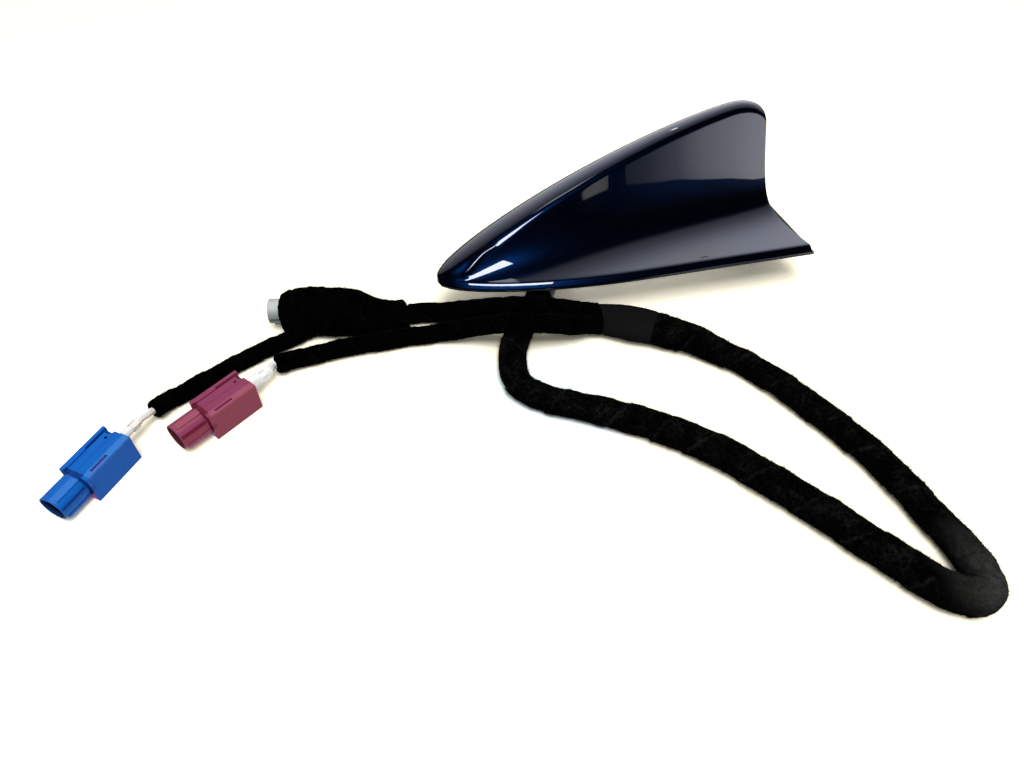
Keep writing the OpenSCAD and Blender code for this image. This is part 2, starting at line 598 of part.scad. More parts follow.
// Block with its raised rails, groove, slot and notch, and the keyed neck in a round recess
module plug_housing(ribs) difference() {
    union() {
        difference() {
            translate([0, -plug_w / 2, 0]) cube([plug_l, plug_w, plug_w]);
            translate([-1, -4, plug_w - 0.5]) cube([plug_l + 2, 6.2, 2]);
            translate([0.5, -4.7, plug_w - 1.4]) cube([9.6, 0.8, 2]);
            translate([3.4, -1.8, plug_w - 2]) cylinder(d = 1.2, h = 3);
            translate([0, -2.8, plug_w - 2.6]) cylinder(r = 1.9, h = 3);
            translate([slot_x, slot_y, plug_w - 2]) cube([slot_l, slot_w, 3]);
            lock_slab();
            barrel(plug_l - 1.4, 2, 11, 0.1);
        }
        barrel(plug_l - 2, neck_l + 2, neck_d);
        for (r = ribs) rib(r[0], r[1], plug_l, mouth - 1.2, neck_d / 2 + 0.7);
    }
    barrel(-1, shell_x0 + 1, 5.4);
    barrel(shell_x0, mouth, shell_d);
    barrel(mouth - mouth_depth, mouth_depth + 1, neck_bore);
}

module plug_shell() difference() {
    barrel(shell_x0, mouth - mouth_depth - shell_x0, shell_d);
    barrel(shell_x0 + 1, mouth, shell_d - 2 * shell_t);
    barrel(shell_x0 - 1, 3, 2.6);
    for (a = [45, 135]) translate([mouth - mouth_depth, axis_y, axis_z]) rotate([a, 0, 0])
        translate([-5, -0.3, -4]) cube([6, 0.6, 8]);
}
module plug_insulator() difference() {
    barrel(shell_x0 + 1, plug_l - shell_x0 - 1, shell_d - 2 * shell_t);
    barrel(shell_x0, plug_l, 1.6);
}
module plug_contact() difference() {
    barrel(shell_x0 + 1, plug_l + 3 - shell_x0 - 1, 1.6);
    barrel(plug_l - 2, 6, 0.95);
}
// Crimp ferrule: a round sleeve with a hexagonal crimp, stepped where it meets the block
module plug_ferrule(wide, wide_l, l) {
    barrel(-wide_l, wide_l + shell_x0, wide);
    barrel(-l, l - wide_l + 1, 3);
    translate([1 - l, axis_y, axis_z]) rotate([0, 90, 0]) cylinder(d = 3.8, h = 3, $fn = 6);
}
ferrule_l = 9.5;

// A short length of bare coax between the ferrule and the end of the tape
function plug_point(at, turn, x) =
    at + [x * cos(turn) - axis_y * sin(turn), x * sin(turn) + axis_y * cos(turn), axis_z];
function stub_route(at, turn, end, back) = [
    plug_point(at, turn, -ferrule_l), plug_point(at, turn, -ferrule_l - 1),
    end + back, end
];
blue_end = blue_route[len(blue_route) - 1];
blue_back = unit(blue_end - blue_route[len(blue_route) - 2]);
lower_end = lower_route[len(lower_route) - 1];
lower_back = unit(lower_end - lower_route[len(lower_route) - 2]);
module coax_stub(route) color(rubber) sweep_tube(even(route, coax_d), 8);

// Coding ribs as [angle round the neck, width]
blue_ribs = [[222, 2], [330, 1.4]];
bordeaux_ribs = [[350, 2.4], [240, 2]];
grey_ribs = [[200, 1.8], [80, 1.4]];
module housing_blue() color(blue) at_blue() plug_housing(blue_ribs);
module housing_bordeaux() color(bordeaux) at_bordeaux() plug_housing(bordeaux_ribs);
module housing_grey() color(grey) at_grey() plug_housing(grey_ribs);
module lock_blue() color(violet) at_blue() lock_slab();
module lock_bordeaux() color(violet) at_bordeaux() lock_slab();
module lock_grey() color(violet) at_grey() lock_slab();
module shell_blue() color(nickel) at_blue() plug_shell();
module shell_bordeaux() color(nickel) at_bordeaux() plug_shell();
module shell_grey() color(nickel) at_grey() plug_shell();
module insulator_blue() color("white") at_blue() plug_insulator();
module insulator_bordeaux() color("white") at_bordeaux() plug_insulator();
module insulator_grey() color("white") at_grey() plug_insulator();
module contact_blue() color("gold") at_blue() plug_contact();
module contact_bordeaux() color("gold") at_bordeaux() plug_contact();
module contact_grey() color("gold") at_grey() plug_contact();
module ferrule_blue() color(nickel) at_blue() plug_ferrule(3.4, 2.6, ferrule_l);
module ferrule_bordeaux() color(nickel) at_bordeaux() plug_ferrule(5, 5.6, ferrule_l);
module ferrule_grey() color(nickel) at_grey() plug_ferrule(3.4, 2.6, 6);
module coax_blue() coax_stub(stub_route(blue_at, blue_turn, blue_end, blue_back));
module coax_bordeaux() coax_stub(stub_route(bordeaux_at, bordeaux_turn, lower_end, lower_back));

// Bulge of tape wound round the grey plug, open round its block and ferrule
module lump_wrap() color(tape) difference() {
    sweep_tube(lump_route, 16, e = 0.62);
    at_grey() {
        translate([0, -plug_w / 2, 0]) cube([plug_l, plug_w, plug_w]);
        barrel(plug_l - 1, 12, neck_d + 1.6);
        barrel(-6, 7, 3.9);
    }
    blue_branch();
}

fin_cover();
base_plate();
rim_seal();
hole_seal();
roof_stud();
main_board();
patch_ceramic();
patch_electrode();
patch_pin();
shield_can();
element_holder();
phone_element();
remote_element();
lead_clamp();
inner_lead_gps();
inner_lead_phone();
inner_lead_remote();
cable_boot();
cover_screws();
board_screws();
harness_trunk();
split_band();
upper_branch();
lower_branch();
lump_wrap();
blue_branch();
housing_blue();
lock_blue();
shell_blue();
insulator_blue();
contact_blue();
ferrule_blue();
coax_blue();
housing_bordeaux();
lock_bordeaux();
shell_bordeaux();
insulator_bordeaux();
contact_bordeaux();
ferrule_bordeaux();
coax_bordeaux();
housing_grey();
lock_grey();
shell_grey();
insulator_grey();
contact_grey();
ferrule_grey();
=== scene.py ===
"""Looks of a car roof antenna: painted fin, sealed base, fleece-taped harness and keyed plugs."""
import json
import math

import bpy
import numpy as np
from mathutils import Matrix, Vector

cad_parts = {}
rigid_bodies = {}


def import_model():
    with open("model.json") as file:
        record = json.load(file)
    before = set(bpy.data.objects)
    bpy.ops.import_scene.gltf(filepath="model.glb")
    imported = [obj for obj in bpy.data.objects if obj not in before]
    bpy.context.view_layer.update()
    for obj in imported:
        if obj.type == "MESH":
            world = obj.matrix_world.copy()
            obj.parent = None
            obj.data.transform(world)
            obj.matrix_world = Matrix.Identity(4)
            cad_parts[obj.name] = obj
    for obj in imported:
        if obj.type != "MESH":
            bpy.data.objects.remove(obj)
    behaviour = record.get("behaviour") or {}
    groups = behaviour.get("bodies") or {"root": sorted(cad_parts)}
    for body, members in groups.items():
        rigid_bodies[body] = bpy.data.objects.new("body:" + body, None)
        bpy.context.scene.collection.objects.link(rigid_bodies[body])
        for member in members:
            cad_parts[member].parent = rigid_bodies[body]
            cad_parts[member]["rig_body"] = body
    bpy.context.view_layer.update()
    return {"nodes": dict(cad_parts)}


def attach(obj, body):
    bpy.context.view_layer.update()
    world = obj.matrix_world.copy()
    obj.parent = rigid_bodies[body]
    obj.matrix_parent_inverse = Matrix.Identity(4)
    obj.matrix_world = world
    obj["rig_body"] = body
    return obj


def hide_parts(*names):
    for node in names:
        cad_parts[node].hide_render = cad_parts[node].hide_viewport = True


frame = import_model()
scene = bpy.context.scene
scene.view_settings.view_transform = "Standard"

# Millimetres in metres, the way up, and the height of the table that the harness lies on in millimetres
MM = 0.001
UP = np.array([0.0, 0.0, 1.0])
FLOOR_Z = -17.5


# Small helpers
def unit(v):
    """Vectors of length one along the last axis."""
    v = np.asarray(v, float)
    return v / np.maximum(np.linalg.norm(v, axis=-1, keepdims=True), 1e-12)


def heading(azimuth, elevation):
    """Direction of these angles in degrees: azimuth 0 is +Y, 90 is +X."""
    a, e = math.radians(azimuth), math.radians(elevation)
    return np.array([math.sin(a) * math.cos(e), math.cos(a) * math.cos(e), math.sin(e)])


def link(name, data):
    """A new object of the scene with this data."""
    ob = bpy.data.objects.new(name, data)
    scene.collection.objects.link(ob)
    return ob


def build(name, points, faces, material, smooth=True):
    """A mesh piece from points in millimetres, riding on the root body."""
    mesh = bpy.data.meshes.new(name)
    corners = (np.asarray(points, float) * MM).tolist()
    mesh.from_pydata(corners, [], [list(map(int, f)) for f in faces])
    mesh.materials.append(material)
    mesh.polygons.foreach_set("use_smooth", [smooth] * len(mesh.polygons))
    mesh.update()
    ob = link(name, mesh)
    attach(ob, "root")
    return ob


def grid_faces(rows, cols, closed=True, start=0):
    """Quads over a grid of points, closed round its columns or open."""
    last = cols if closed else cols - 1
    i, k = np.meshgrid(np.arange(rows - 1), np.arange(last), indexing="ij")
    m = (k + 1) % cols
    a, b = start + i * cols, start + (i + 1) * cols
    return np.stack([a + k, b + k, b + m, a + m], -1).reshape(-1, 4)


def waves(points, size, seed, count=14):
    """Smooth noise from -1 to 1 or so, with bumps of this size in millimetres."""
    rng = np.random.default_rng(seed)
    total = np.zeros(points.shape[:-1])
    for _ in range(count):
        direction = unit(rng.normal(size=3)) * (2 * math.pi / size) * rng.uniform(0.6, 1.5)
        total += np.sin(points @ direction + rng.uniform(0, 2 * math.pi))
    return total / math.sqrt(count)


# Camera fitted to the photo: its place, lens and sensor in millimetres, and its near limit in metres
CAMERA_AT = (-101.4, -236.6, 207.2)
CAMERA_LOOKS = heading(18.32, -48.32)
LENS, SENSOR_W, CLIP_START = 27, 36, 0.01
camera = link("photo_view", bpy.data.cameras.new("photo_view"))
camera.data.sensor_width, camera.data.lens, camera.data.clip_start = SENSOR_W, LENS, CLIP_START
camera.location = Vector(CAMERA_AT) * MM
camera.rotation_euler = Vector(CAMERA_LOOKS).to_track_quat("-Z", "Y").to_euler()
scene.camera = camera


# Materials
def material(name, colour, roughness, metallic=0.0, **more):
    """A Principled material with constants on the shader's own sockets."""
    mat = bpy.data.materials.new(name)
    mat.use_nodes = True
    bsdf = mat.node_tree.nodes["Principled BSDF"]
    bsdf.inputs["Base Color"].default_value = (*colour, 1)
    bsdf.inputs["Roughness"].default_value = roughness
    bsdf.inputs["Metallic"].default_value = metallic
    for key, value in more.items():
        bsdf.inputs[key.replace("_", " ").title().replace("Ior", "IOR")].default_value = value
    return mat


def node(mat, kind, values=None, **props):
    """A shader node with these input values or links and these properties."""
    n = mat.node_tree.nodes.new(kind)
    for key, value in props.items():
        setattr(n, key, value)
    for key, value in (values or {}).items():
        if isinstance(value, bpy.types.NodeSocket):
            mat.node_tree.links.new(value, n.inputs[key])
        else:
            n.inputs[key].default_value = value
    return n


def into(mat, socket, output):
    """Links an output to one of the shader's sockets."""
    mat.node_tree.links.new(output, mat.node_tree.nodes["Principled BSDF"].inputs[socket])


def place(mat):
    """The piece's own coordinates, in metres in the part's frame."""
    return node(mat, "ShaderNodeTexCoord").outputs["Object"]


def parts_of(mat, vector):
    """The x, y and z of a vector."""
    return node(mat, "ShaderNodeSeparateXYZ", {0: vector}).outputs


def facing_up(mat):
    """The z of the surface's normal: 1 on top, 0 on a wall, -1 below."""
    return parts_of(mat, node(mat, "ShaderNodeNewGeometry").outputs["Normal"])[2]


def noise(mat, size, detail=2.0, rough=0.5):
    """Noise with features of this size in millimetres, from 0 to 1."""
    return node(
        mat, "ShaderNodeTexNoise",
        {"Vector": place(mat), "Scale": 1 / (size * MM), "Detail": detail, "Roughness": rough},
    ).outputs["Fac"]


def ramp(mat, value, stops):
    """A grey ramp over these stops of (position, brightness)."""
    n = node(mat, "ShaderNodeValToRGB", {"Fac": value})
    while len(n.color_ramp.elements) < len(stops):
        n.color_ramp.elements.new(0.5)
    for e, (position, grey) in zip(n.color_ramp.elements, stops):
        e.position = position
        e.color = (grey, grey, grey, 1)
    return n.outputs["Color"]


def mix(mat, factor, a, b):
    """Colour a where the factor is 0 and b where it is 1."""
    return node(mat, "ShaderNodeMix", {0: factor, 6: a, 7: b}, data_type="RGBA").outputs[2]


def math_node(mat, operation, a, b=0.0, c=0.0):
    """The result of one Math node."""
    return node(mat, "ShaderNodeMath", {0: a, 1: b, 2: c}, operation=operation).outputs[0]


def product(mat, first, *others):
    """All these values multiplied."""
    total = first
    for value in others:
        total = math_node(mat, "MULTIPLY", total, value)
    return total


def slope_to(mat, value, start, end, low=0.0, high=1.0):
    """A straight slope from low at start to high at end, level beyond both."""
    return node(mat, "ShaderNodeMapRange", {0: value, 1: start, 2: end, 3: low, 4: high}).outputs[0]


def between(mat, value, low, high, soft):
    """1 where a value lies between two limits, with edges this soft."""
    rise, fall = (
        node(mat, "ShaderNodeMapRange", {0: value, 1: limit - soft, 2: limit + soft, 3: a, 4: b},
             interpolation_type="SMOOTHSTEP").outputs[0]
        for limit, a, b in ((low, 0.0, 1.0), (high, 1.0, 0.0))
    )
    return product(mat, rise, fall)


def over(mat, base, colour, share, *masks):
    """A base colour with this share of another colour where all masks are 1."""
    return mix(mat, product(mat, *masks, share), base, (*colour, 1))


def uneven_roughness(mat, size, detail, low, spread):
    """Roughness from low to low + spread, in patches of this size in millimetres."""
    value = math_node(mat, "MULTIPLY_ADD", noise(mat, size, detail), spread, low)
    into(mat, "Roughness", value)


def bump(mat, *layers):
    """Bumps of (height from 0 to 1, depth in millimetres), one on the other."""
    normal = None
    for height, depth in layers:
        values = {"Height": height, "Distance": depth * MM, "Strength": 1.0}
        if normal is not None:
            values["Normal"] = normal
        normal = node(mat, "ShaderNodeBump", values).outputs["Normal"]
    into(mat, "Normal", normal)


# Paint: its flakes in millimetres, and its colours
FLAKE, FLAKE_DEPTH = 0.16, 0.006
PAINT_BASE, PAINT_PATCH = (0.001, 0.005, 0.028), (0.0005, 0.0062, 0.0300, 1)
FLAKE_DARK, FLAKE_BRIGHT = (0.0003, 0.0020, 0.0100, 1), (0.0020, 0.0260, 0.1200, 1)


def car_paint():
    """Near-black metallic blue under a deep clear coat."""
    coat = {"coat_weight": 1.0, "coat_roughness": 0.012, "coat_ior": 1.6}
    mat = material("paint", PAINT_BASE, 0.27, 1.0, **coat)
    flakes = node(mat, "ShaderNodeTexVoronoi", {"Vector": place(mat), "Scale": 1 / (FLAKE * MM)})
    sparkle = ramp(mat, flakes.outputs["Distance"], [(0.0, 1.0), (0.6, 0.0)])
    tint = mix(mat, sparkle, FLAKE_DARK, FLAKE_BRIGHT)
    into(mat, "Base Color", mix(mat, noise(mat, 22, 2), tint, PAINT_PATCH))
    bump(mat, (flakes.outputs["Color"], FLAKE_DEPTH))
    return mat


# The painted sheen on the trunk's hairpin: limits in metres at which it begins and is full
HAIRPIN_SHEEN_Y, HAIRPIN_SHEEN_X = (-0.152, -0.176), (0.056, 0.071)


def fleece(name, dark, light, size=1.3, edge=None, hairpin_sheen=0.0):
    """Matt fleece tape: a napped mottle, with painted light on top, on a turn's edge and on the hairpin's
    bend.
    """
    mat = material(name, dark, 1.0, specular_ior_level=0.0, sheen_weight=0.005, sheen_roughness=0.4)
    patch = ramp(mat, noise(mat, 7.5, 3, 0.6), [(0.40, 0.0), (0.68, 1.0)])
    nap = ramp(mat, noise(mat, size, 4, 0.7), [(0.40, 0.0), (0.72, 1.0)])
    grain = ramp(mat, noise(mat, 0.32, 2, 0.6), [(0.3, 0.2), (0.75, 1.0)])
    amount = product(mat, math_node(mat, "MULTIPLY_ADD", patch, 0.5, 0.05), nap, grain)
    # A painted sheen in blotches on the hairpin's bend, lighter than the nap
    if hairpin_sheen:
        x, y, _ = parts_of(mat, place(mat))
        bend = product(mat, slope_to(mat, y, *HAIRPIN_SHEEN_Y), slope_to(mat, x, *HAIRPIN_SHEEN_X))
        sheen_blotch = ramp(mat, noise(mat, 2.6, 4, 0.7), [(0.3, 0.45 * hairpin_sheen), (0.7, hairpin_sheen)])
        amount = math_node(mat, "MAXIMUM", amount, product(mat, bend, sheen_blotch))
    # Painted light: the paler tone shows only on faces turned up
    amount = product(mat, amount, slope_to(mat, facing_up(mat), -0.2, 0.8))
    colour = mix(mat, amount, (*dark, 1), (*light, 1))
    # A painted highlight along each turn's edge
    if edge:
        rim = node(mat, "ShaderNodeAttribute", attribute_name="turn_edge_highlight").outputs["Fac"]
        colour = over(mat, colour, edge, 1.0, rim, grain)
    into(mat, "Base Color", colour)
    bump(mat, (noise(mat, size, 3, 0.6), 0.22), (noise(mat, 0.28, 2, 0.6), 0.12))
    return mat


def moulded(name, colour, shade, roughness=0.42, grain=0.02, shine=0.3):
    """Moulded plastic with a faint flow mottle and a fine spark-eroded grain."""
    mat = material(name, colour, roughness, specular_ior_level=shine)
    into(mat, "Base Color", mix(mat, noise(mat, 7, 2, 0.5), (*colour, 1), (*shade, 1)))
    uneven_roughness(mat, 0.8, 2, roughness - 0.06, 0.14)
    bump(mat, (noise(mat, 0.22, 2), grain))
    return mat


def metal(name, colour, shade, roughness, grain=0.01, size=0.6):
    """Bare metal with a faint mottle and a fine grain."""
    mat = material(name, colour, roughness, 1.0)
    into(mat, "Base Color", mix(mat, noise(mat, 3.5, 3), (*colour, 1), (*shade, 1)))
    uneven_roughness(mat, 1.2, 3, roughness - 0.1, 0.2)
    bump(mat, (noise(mat, size, 3), grain))
    return mat


# Plugs in their own frame: the block starts at x = 0, the neck points to +x, and z = 0 is the table
PLUG_L, PLUG_W, NECK_L, NECK_D, AXIS_Y = 20.4, 12.1, 11.2, 10.2, -0.5
AXIS_Z = PLUG_W / 2 + 0.85
PLUGS = {
    "blue": ((-181, -34.2, FLOOR_Z), 228),
    "bordeaux": ((-135.6, -22.6, FLOOR_Z), 212.5),
    "grey": ((-92.5, 7.1, -16.5), 164),
}
PLUG_ROUGH = 0.45
# The painted highlight along the edge of the block's top: its limits along x, y and z in millimetres
HIGHLIGHT_EDGE_X, HIGHLIGHT_EDGE_Y, HIGHLIGHT_EDGE_Z = (-1, 19.2), (3.3, 5.95), (11.2, 13)


def on_plug(plug, points):
    """Points of a plug's own frame in the part's frame."""
    at, turn = PLUGS[plug]
    c, n = math.cos(math.radians(turn)), math.sin(math.radians(turn))
    x, y, z = np.moveaxis(np.asarray(points, float), -1, 0)
    return np.stack([at[0] + c * x - n * y, at[1] + n * x + c * y, at[2] + z], -1)


def plug_frame(mat, plug):
    """A plug's own x, y and z in millimetres, the distance from the neck's axis and the angle round it."""
    at, turn = PLUGS[plug]
    away = node(mat, "ShaderNodeVectorMath", {0: place(mat), 1: tuple(v * MM for v in at)},
                operation="SUBTRACT").outputs[0]
    turned = node(mat, "ShaderNodeVectorRotate", {"Vector": away, "Angle": -math.radians(turn)},
                  rotation_type="Z_AXIS").outputs[0]
    local = node(mat, "ShaderNodeVectorMath", {0: turned, 3: 1 / MM}, operation="SCALE").outputs[0]
    x, y, z = parts_of(mat, local)
    dy, dz = math_node(mat, "SUBTRACT", y, AXIS_Y), math_node(mat, "SUBTRACT", z, AXIS_Z)
    r = math_node(mat, "SQRT", math_node(mat, "ADD", product(mat, dy, dy), product(mat, dz, dz)))
    around = math_node(mat, "ARCTAN2", math_node(mat, "SUBTRACT", AXIS_Y, y), dz)
    return x, y, z, r, product(mat, around, 180 / math.pi)


def plug_plastic(plug, colour, side, highlight_colour, deep, sheen, groove_shade, shallow):
    """A plug's plastic with painted light and shade: its sides are a shaded copy of its top.

    A highlight is painted along the top's edge, and the neck gets a painted sheen and a painted dark band of
    shade, each between a pair of angles round it in degrees. Shade is painted round the neck's root, and the
    mouth is painted dark as shade up to shallow millimetres from the neck's end.
    """
    mat = material("plug_" + plug, colour, PLUG_ROUGH, specular_ior_level=0.09)
    x, y, z, r, around = plug_frame(mat, plug)
    end_x, bore_r = PLUG_L + NECK_L, NECK_D / 2 - 0.45
    highlight_edge_y = math_node(mat, "ADD", y, math_node(mat, "MULTIPLY_ADD", noise(mat, 2.2, 2), 0.8, -0.4))
    inside = between(mat, r, -1, bore_r, 0.12)
    on_neck = product(mat, between(mat, x, PLUG_L + 0.8, end_x - 0.4, 0.5),
                      between(mat, r, NECK_D / 2 - 0.3, 9, 0.1))
    on_top = between(mat, facing_up(mat), 0.55, 2.0, 0.25)
    # Painted shade: the sides take the darker side colour, and faces turned up take the top's own
    base = over(mat, (*side, 1), colour, 1.0, on_top)
    base = over(mat, base, side, 0.25, noise(mat, 7, 2, 0.5))
    # A painted highlight along the edge of the block's top
    base = over(mat, base, highlight_colour, 0.85, between(mat, highlight_edge_y, *HIGHLIGHT_EDGE_Y, 0.35),
                between(mat, z, *HIGHLIGHT_EDGE_Z, 0.2), between(mat, x, *HIGHLIGHT_EDGE_X, 0.3))
    # A painted sheen along the neck, and a painted dark band of shade along it
    base = over(mat, base, highlight_colour, 0.75, between(mat, around, *sheen, 7), on_neck)
    base = over(mat, base, deep, 0.8, between(mat, around, *groove_shade, 4), on_neck)
    # Painted shade in the mouth
    base = over(mat, base, [0.45 * v for v in side], 1.0, inside)
    # Painted shade round the neck's root, where it meets the block
    base = over(mat, base, deep, 0.85, between(mat, x, PLUG_L - 1.6, PLUG_L + 0.5, 0.25),
                between(mat, r, 4.6, 6.6, 0.2))
    # Painted shade, near black, deep in the mouth up to shallow millimetres from the neck's end
    base = over(mat, base, [0.05 * v for v in deep], 1.0,
                between(mat, x, PLUG_L + 1, end_x - shallow, 0.7), inside)
    into(mat, "Base Color", base)
    uneven_roughness(mat, 0.8, 2, PLUG_ROUGH - 0.06, 0.14)
    bump(mat, (noise(mat, 0.25, 2), 0.03), (noise(mat, 1.6, 2), 0.03))
    return mat


def sleeve_metal(name, colour, below):
    """Bright tin-plated sleeve, with brown shade painted on its lower side."""
    mat = material(name, colour, 0.4, 0.15, specular_ior_level=0.5)
    # Painted shade: the colour below shows on the side turned down
    shade_level = math_node(mat, "MULTIPLY_ADD", noise(mat, 2.5, 3), 0.5, facing_up(mat))
    lit_share = between(mat, shade_level, 0.35, 3.0, 0.25)
    into(mat, "Base Color", mix(mat, lit_share, (*below, 1), (*colour, 1)))
    uneven_roughness(mat, 0.9, 3, 0.3, 0.25)
    bump(mat, (noise(mat, 0.5, 3), 0.02))
    return mat


PAINT = car_paint()
# Fleece colours: dark, the paler tone painted on top, the painted edge highlight, and the hairpin's painted
# sheen
FLEECE = fleece("fleece_tape", (0.0004, 0.0004, 0.0004), (0.0420, 0.0450, 0.0410),
                edge=(0.020, 0.021, 0.020), hairpin_sheen=1.15)
DENSE = fleece("dense_fleece_tape", (0.0003, 0.0003, 0.0003), (0.0080, 0.0085, 0.0080),
               edge=(0.004, 0.004, 0.004))
BAND = fleece("smooth_tape", (0.0075, 0.0074, 0.0075), (0.0190, 0.0185, 0.0190), 0.8)
FIBRE_DARK, FIBRE_LIGHT = (0.0020, 0.0020, 0.0021, 1), (0.0150, 0.0155, 0.0150, 1)
FIBRE = material("fleece_fibre", (0.006, 0.006, 0.0062), 1.0, specular_ior_level=0.0)
into(FIBRE, "Base Color", mix(FIBRE, noise(FIBRE, 5, 2), FIBRE_DARK, FIBRE_LIGHT))
RUBBER = moulded("rubber", (0.006, 0.006, 0.0065), (0.010, 0.010, 0.0105), 0.6, 0.03)
# Each plug: its top, its sides' painted shade, its painted highlight and shade colours, the neck's sheen and
# dark band angles, the mouth's shallow end
BLUE = plug_plastic("blue", (0.006, 0.135, 0.560), (0.001, 0.088, 0.400), (0.050, 0.215, 0.640),
                    (0.001, 0.020, 0.160), (-36, -8), (-78, -66), 1.0)
BORDEAUX = plug_plastic("bordeaux", (0.262, 0.048, 0.118), (0.235, 0.042, 0.072), (0.360, 0.098, 0.140),
                        (0.110, 0.002, 0.018), (-34, 8), (-68, -52), 2.6)
GREY = plug_plastic("grey", (0.520, 0.570, 0.560), (0.300, 0.330, 0.325), (0.600, 0.640, 0.630),
                    (0.040, 0.045, 0.044), (-40, 0), (-100, -90), 0.5)
LOCK = moulded("lock_violet", (0.520, 0.040, 0.360), (0.440, 0.030, 0.300), shine=0.1)
WHITE = moulded("insulator", (0.800, 0.800, 0.770), (0.740, 0.740, 0.710), 0.35)
HOLDER = moulded("holder", (0.030, 0.030, 0.032), (0.040, 0.040, 0.042), 0.5)
SLEEVE = sleeve_metal("tinned_sleeve", (0.860, 0.860, 0.820), (0.330, 0.240, 0.160))
BRIGHT_SLEEVE = sleeve_metal("bright_sleeve", (0.900, 0.910, 0.890), (0.560, 0.600, 0.570))
NICKEL = metal("nickel", (0.780, 0.760, 0.700), (0.640, 0.610, 0.550), 0.28)
STEEL = metal("zinc_steel", (0.600, 0.610, 0.630), (0.500, 0.510, 0.530), 0.34)
CASTING = metal("die_casting", (0.560, 0.565, 0.580), (0.460, 0.465, 0.480), 0.5, 0.05, 0.9)
SILVER = metal("silver", (0.800, 0.800, 0.780), (0.700, 0.700, 0.680), 0.3)
GOLD = metal("gold", (0.850, 0.600, 0.200), (0.780, 0.540, 0.180), 0.22)
BRASS = metal("brass_sheet", (0.700, 0.520, 0.200), (0.620, 0.450, 0.170), 0.3)
COPPER = metal("copper_sheet", (0.700, 0.380, 0.240), (0.600, 0.310, 0.190), 0.32)
CERAMIC = moulded("ceramic", (0.640, 0.580, 0.440), (0.580, 0.520, 0.390), 0.55, 0.03)
BOARD = moulded("solder_mask", (0.010, 0.095, 0.035), (0.014, 0.125, 0.045), 0.35)
LEAD = moulded("lead_sheath", (0.020, 0.020, 0.021), (0.030, 0.030, 0.031), 0.45)


# Harness routes: rows of x, y, z, width and height in millimetres
# A run on the table has its middle this share of its diameter over it
LIES_AT = 0.483


def lie(x, y, d):
    """A row of the trunk where it lies on the table, with its diameter."""
    return (x, y, FLOOR_Z + LIES_AT * d, d, d)


def even(points, d):
    """Rows of a round run of one diameter."""
    return [(*p, d, d) for p in points]


TRUNK = [
    (-13.2, -7.6, -12, 11, 11), (-15.6, -10.8, -12, 11, 11), lie(-20.5, -16, 10.8),
    lie(-25.8, -21.8, 10.8), lie(-29.4, -26.4, 10.8), lie(-32.4, -31.5, 10.7), lie(-34.8, -36.6, 10.7),
    lie(-36.8, -42.3, 10.6), lie(-37.6, -47.6, 10.5), lie(-36.9, -52.4, 10.3), lie(-34.6, -56.8, 10.1),
    lie(-30.4, -61.4, 10.1), lie(-20, -69, 10.2), lie(-8, -77.5, 10.6), lie(7, -90.5, 11),
    lie(19.5, -104.5, 11.4), lie(30, -120.5, 11.4), lie(40, -137.5, 11.4), lie(48.5, -153.5, 11.4),
    lie(56, -167, 11.6), lie(62, -175.8, 11.8), lie(66, -178.3, 12), lie(69.8, -178.7, 12),
    lie(72.6, -176.9, 11.7), lie(74.4, -173.4, 11.3), lie(75.3, -168.5, 11), lie(75.3, -162, 10.6),
    lie(74.3, -148.5, 10.2), lie(71.6, -126, 10), lie(65, -102.5, 10), lie(53.6, -74.5, 9.8),
    lie(45.7, -62.6, 10), (35.4, -50, -12, 12.8, 11.2), (28.4, -43.8, -12, 14.4, 11.3),
    (24.9, -40.9, -12, 15, 11.4),
]
SPLIT_AT = np.array([5.3, -28, -12.4])
SPLIT_DIR = unit([-0.96, 0.2, 0.2])
SPLIT_SIDE = unit(np.cross(UP, SPLIT_DIR))
BAND_START = np.array([24.9, -40.9, -12])
BAND_DIR = unit([-3.5, 2.9, 0])
BAND_ROWS = [
    (*BAND_START, 15.4, 11.6), (*(BAND_START + 3 * BAND_DIR), 16.6, 11.6), (18.6, -36.1, -12, 17.6, 11.4),
    (12.4, -31.7, -12.2, 17, 10.8), (*(SPLIT_AT - 3 * SPLIT_DIR), 16.2, 10), (*SPLIT_AT, 15.8, 9.4),
]
LUMP_ROWS = [
    (-69, -1.2, -12.5, 14, 9.8), (-76, -0.6, -12, 14, 10.8), (-84, 1.4, -11, 16.6, 12.8),
    (-92, 5.4, -9.9, 19.2, 15), (-102, 9.4, -9.8, 19.8, 15.4), (-109, 11.5, -9.8, 19.8, 15.4),
    (-114.2, 12.9, -9.8, 18.4, 14.8), (-117.4, 13.7, -9.9, 15.2, 13.4),
]
LUMP_DIR = unit(np.subtract(LUMP_ROWS[1][:3], LUMP_ROWS[0][:3]))
LUMP_SIDE = unit(np.cross(UP, LUMP_DIR))
LUMP_START = np.array(LUMP_ROWS[0][:3]) - 1.9 * LUMP_SIDE - 0.7 * np.cross(LUMP_DIR, LUMP_SIDE)
UPPER_START = SPLIT_AT - 4.1 * SPLIT_SIDE
LOWER_START = SPLIT_AT + 3.9 * SPLIT_SIDE
UPPER = even([
    UPPER_START, UPPER_START + 4 * SPLIT_DIR, (-4, -23.9, -8.8), (-12.5, -23.7, -5.2), (-20.8, -22.4, -2.9),
    (-28.4, -19.7, -2.9), (-35.6, -15.4, -5.4), (-42.6, -10.3, -8.6), (-50, -5.7, -11.6),
    (-57.2, -2.4, -13.1), (-62, -0.6, -13.4), LUMP_START - 3 * LUMP_DIR, LUMP_START,
], 8.2)
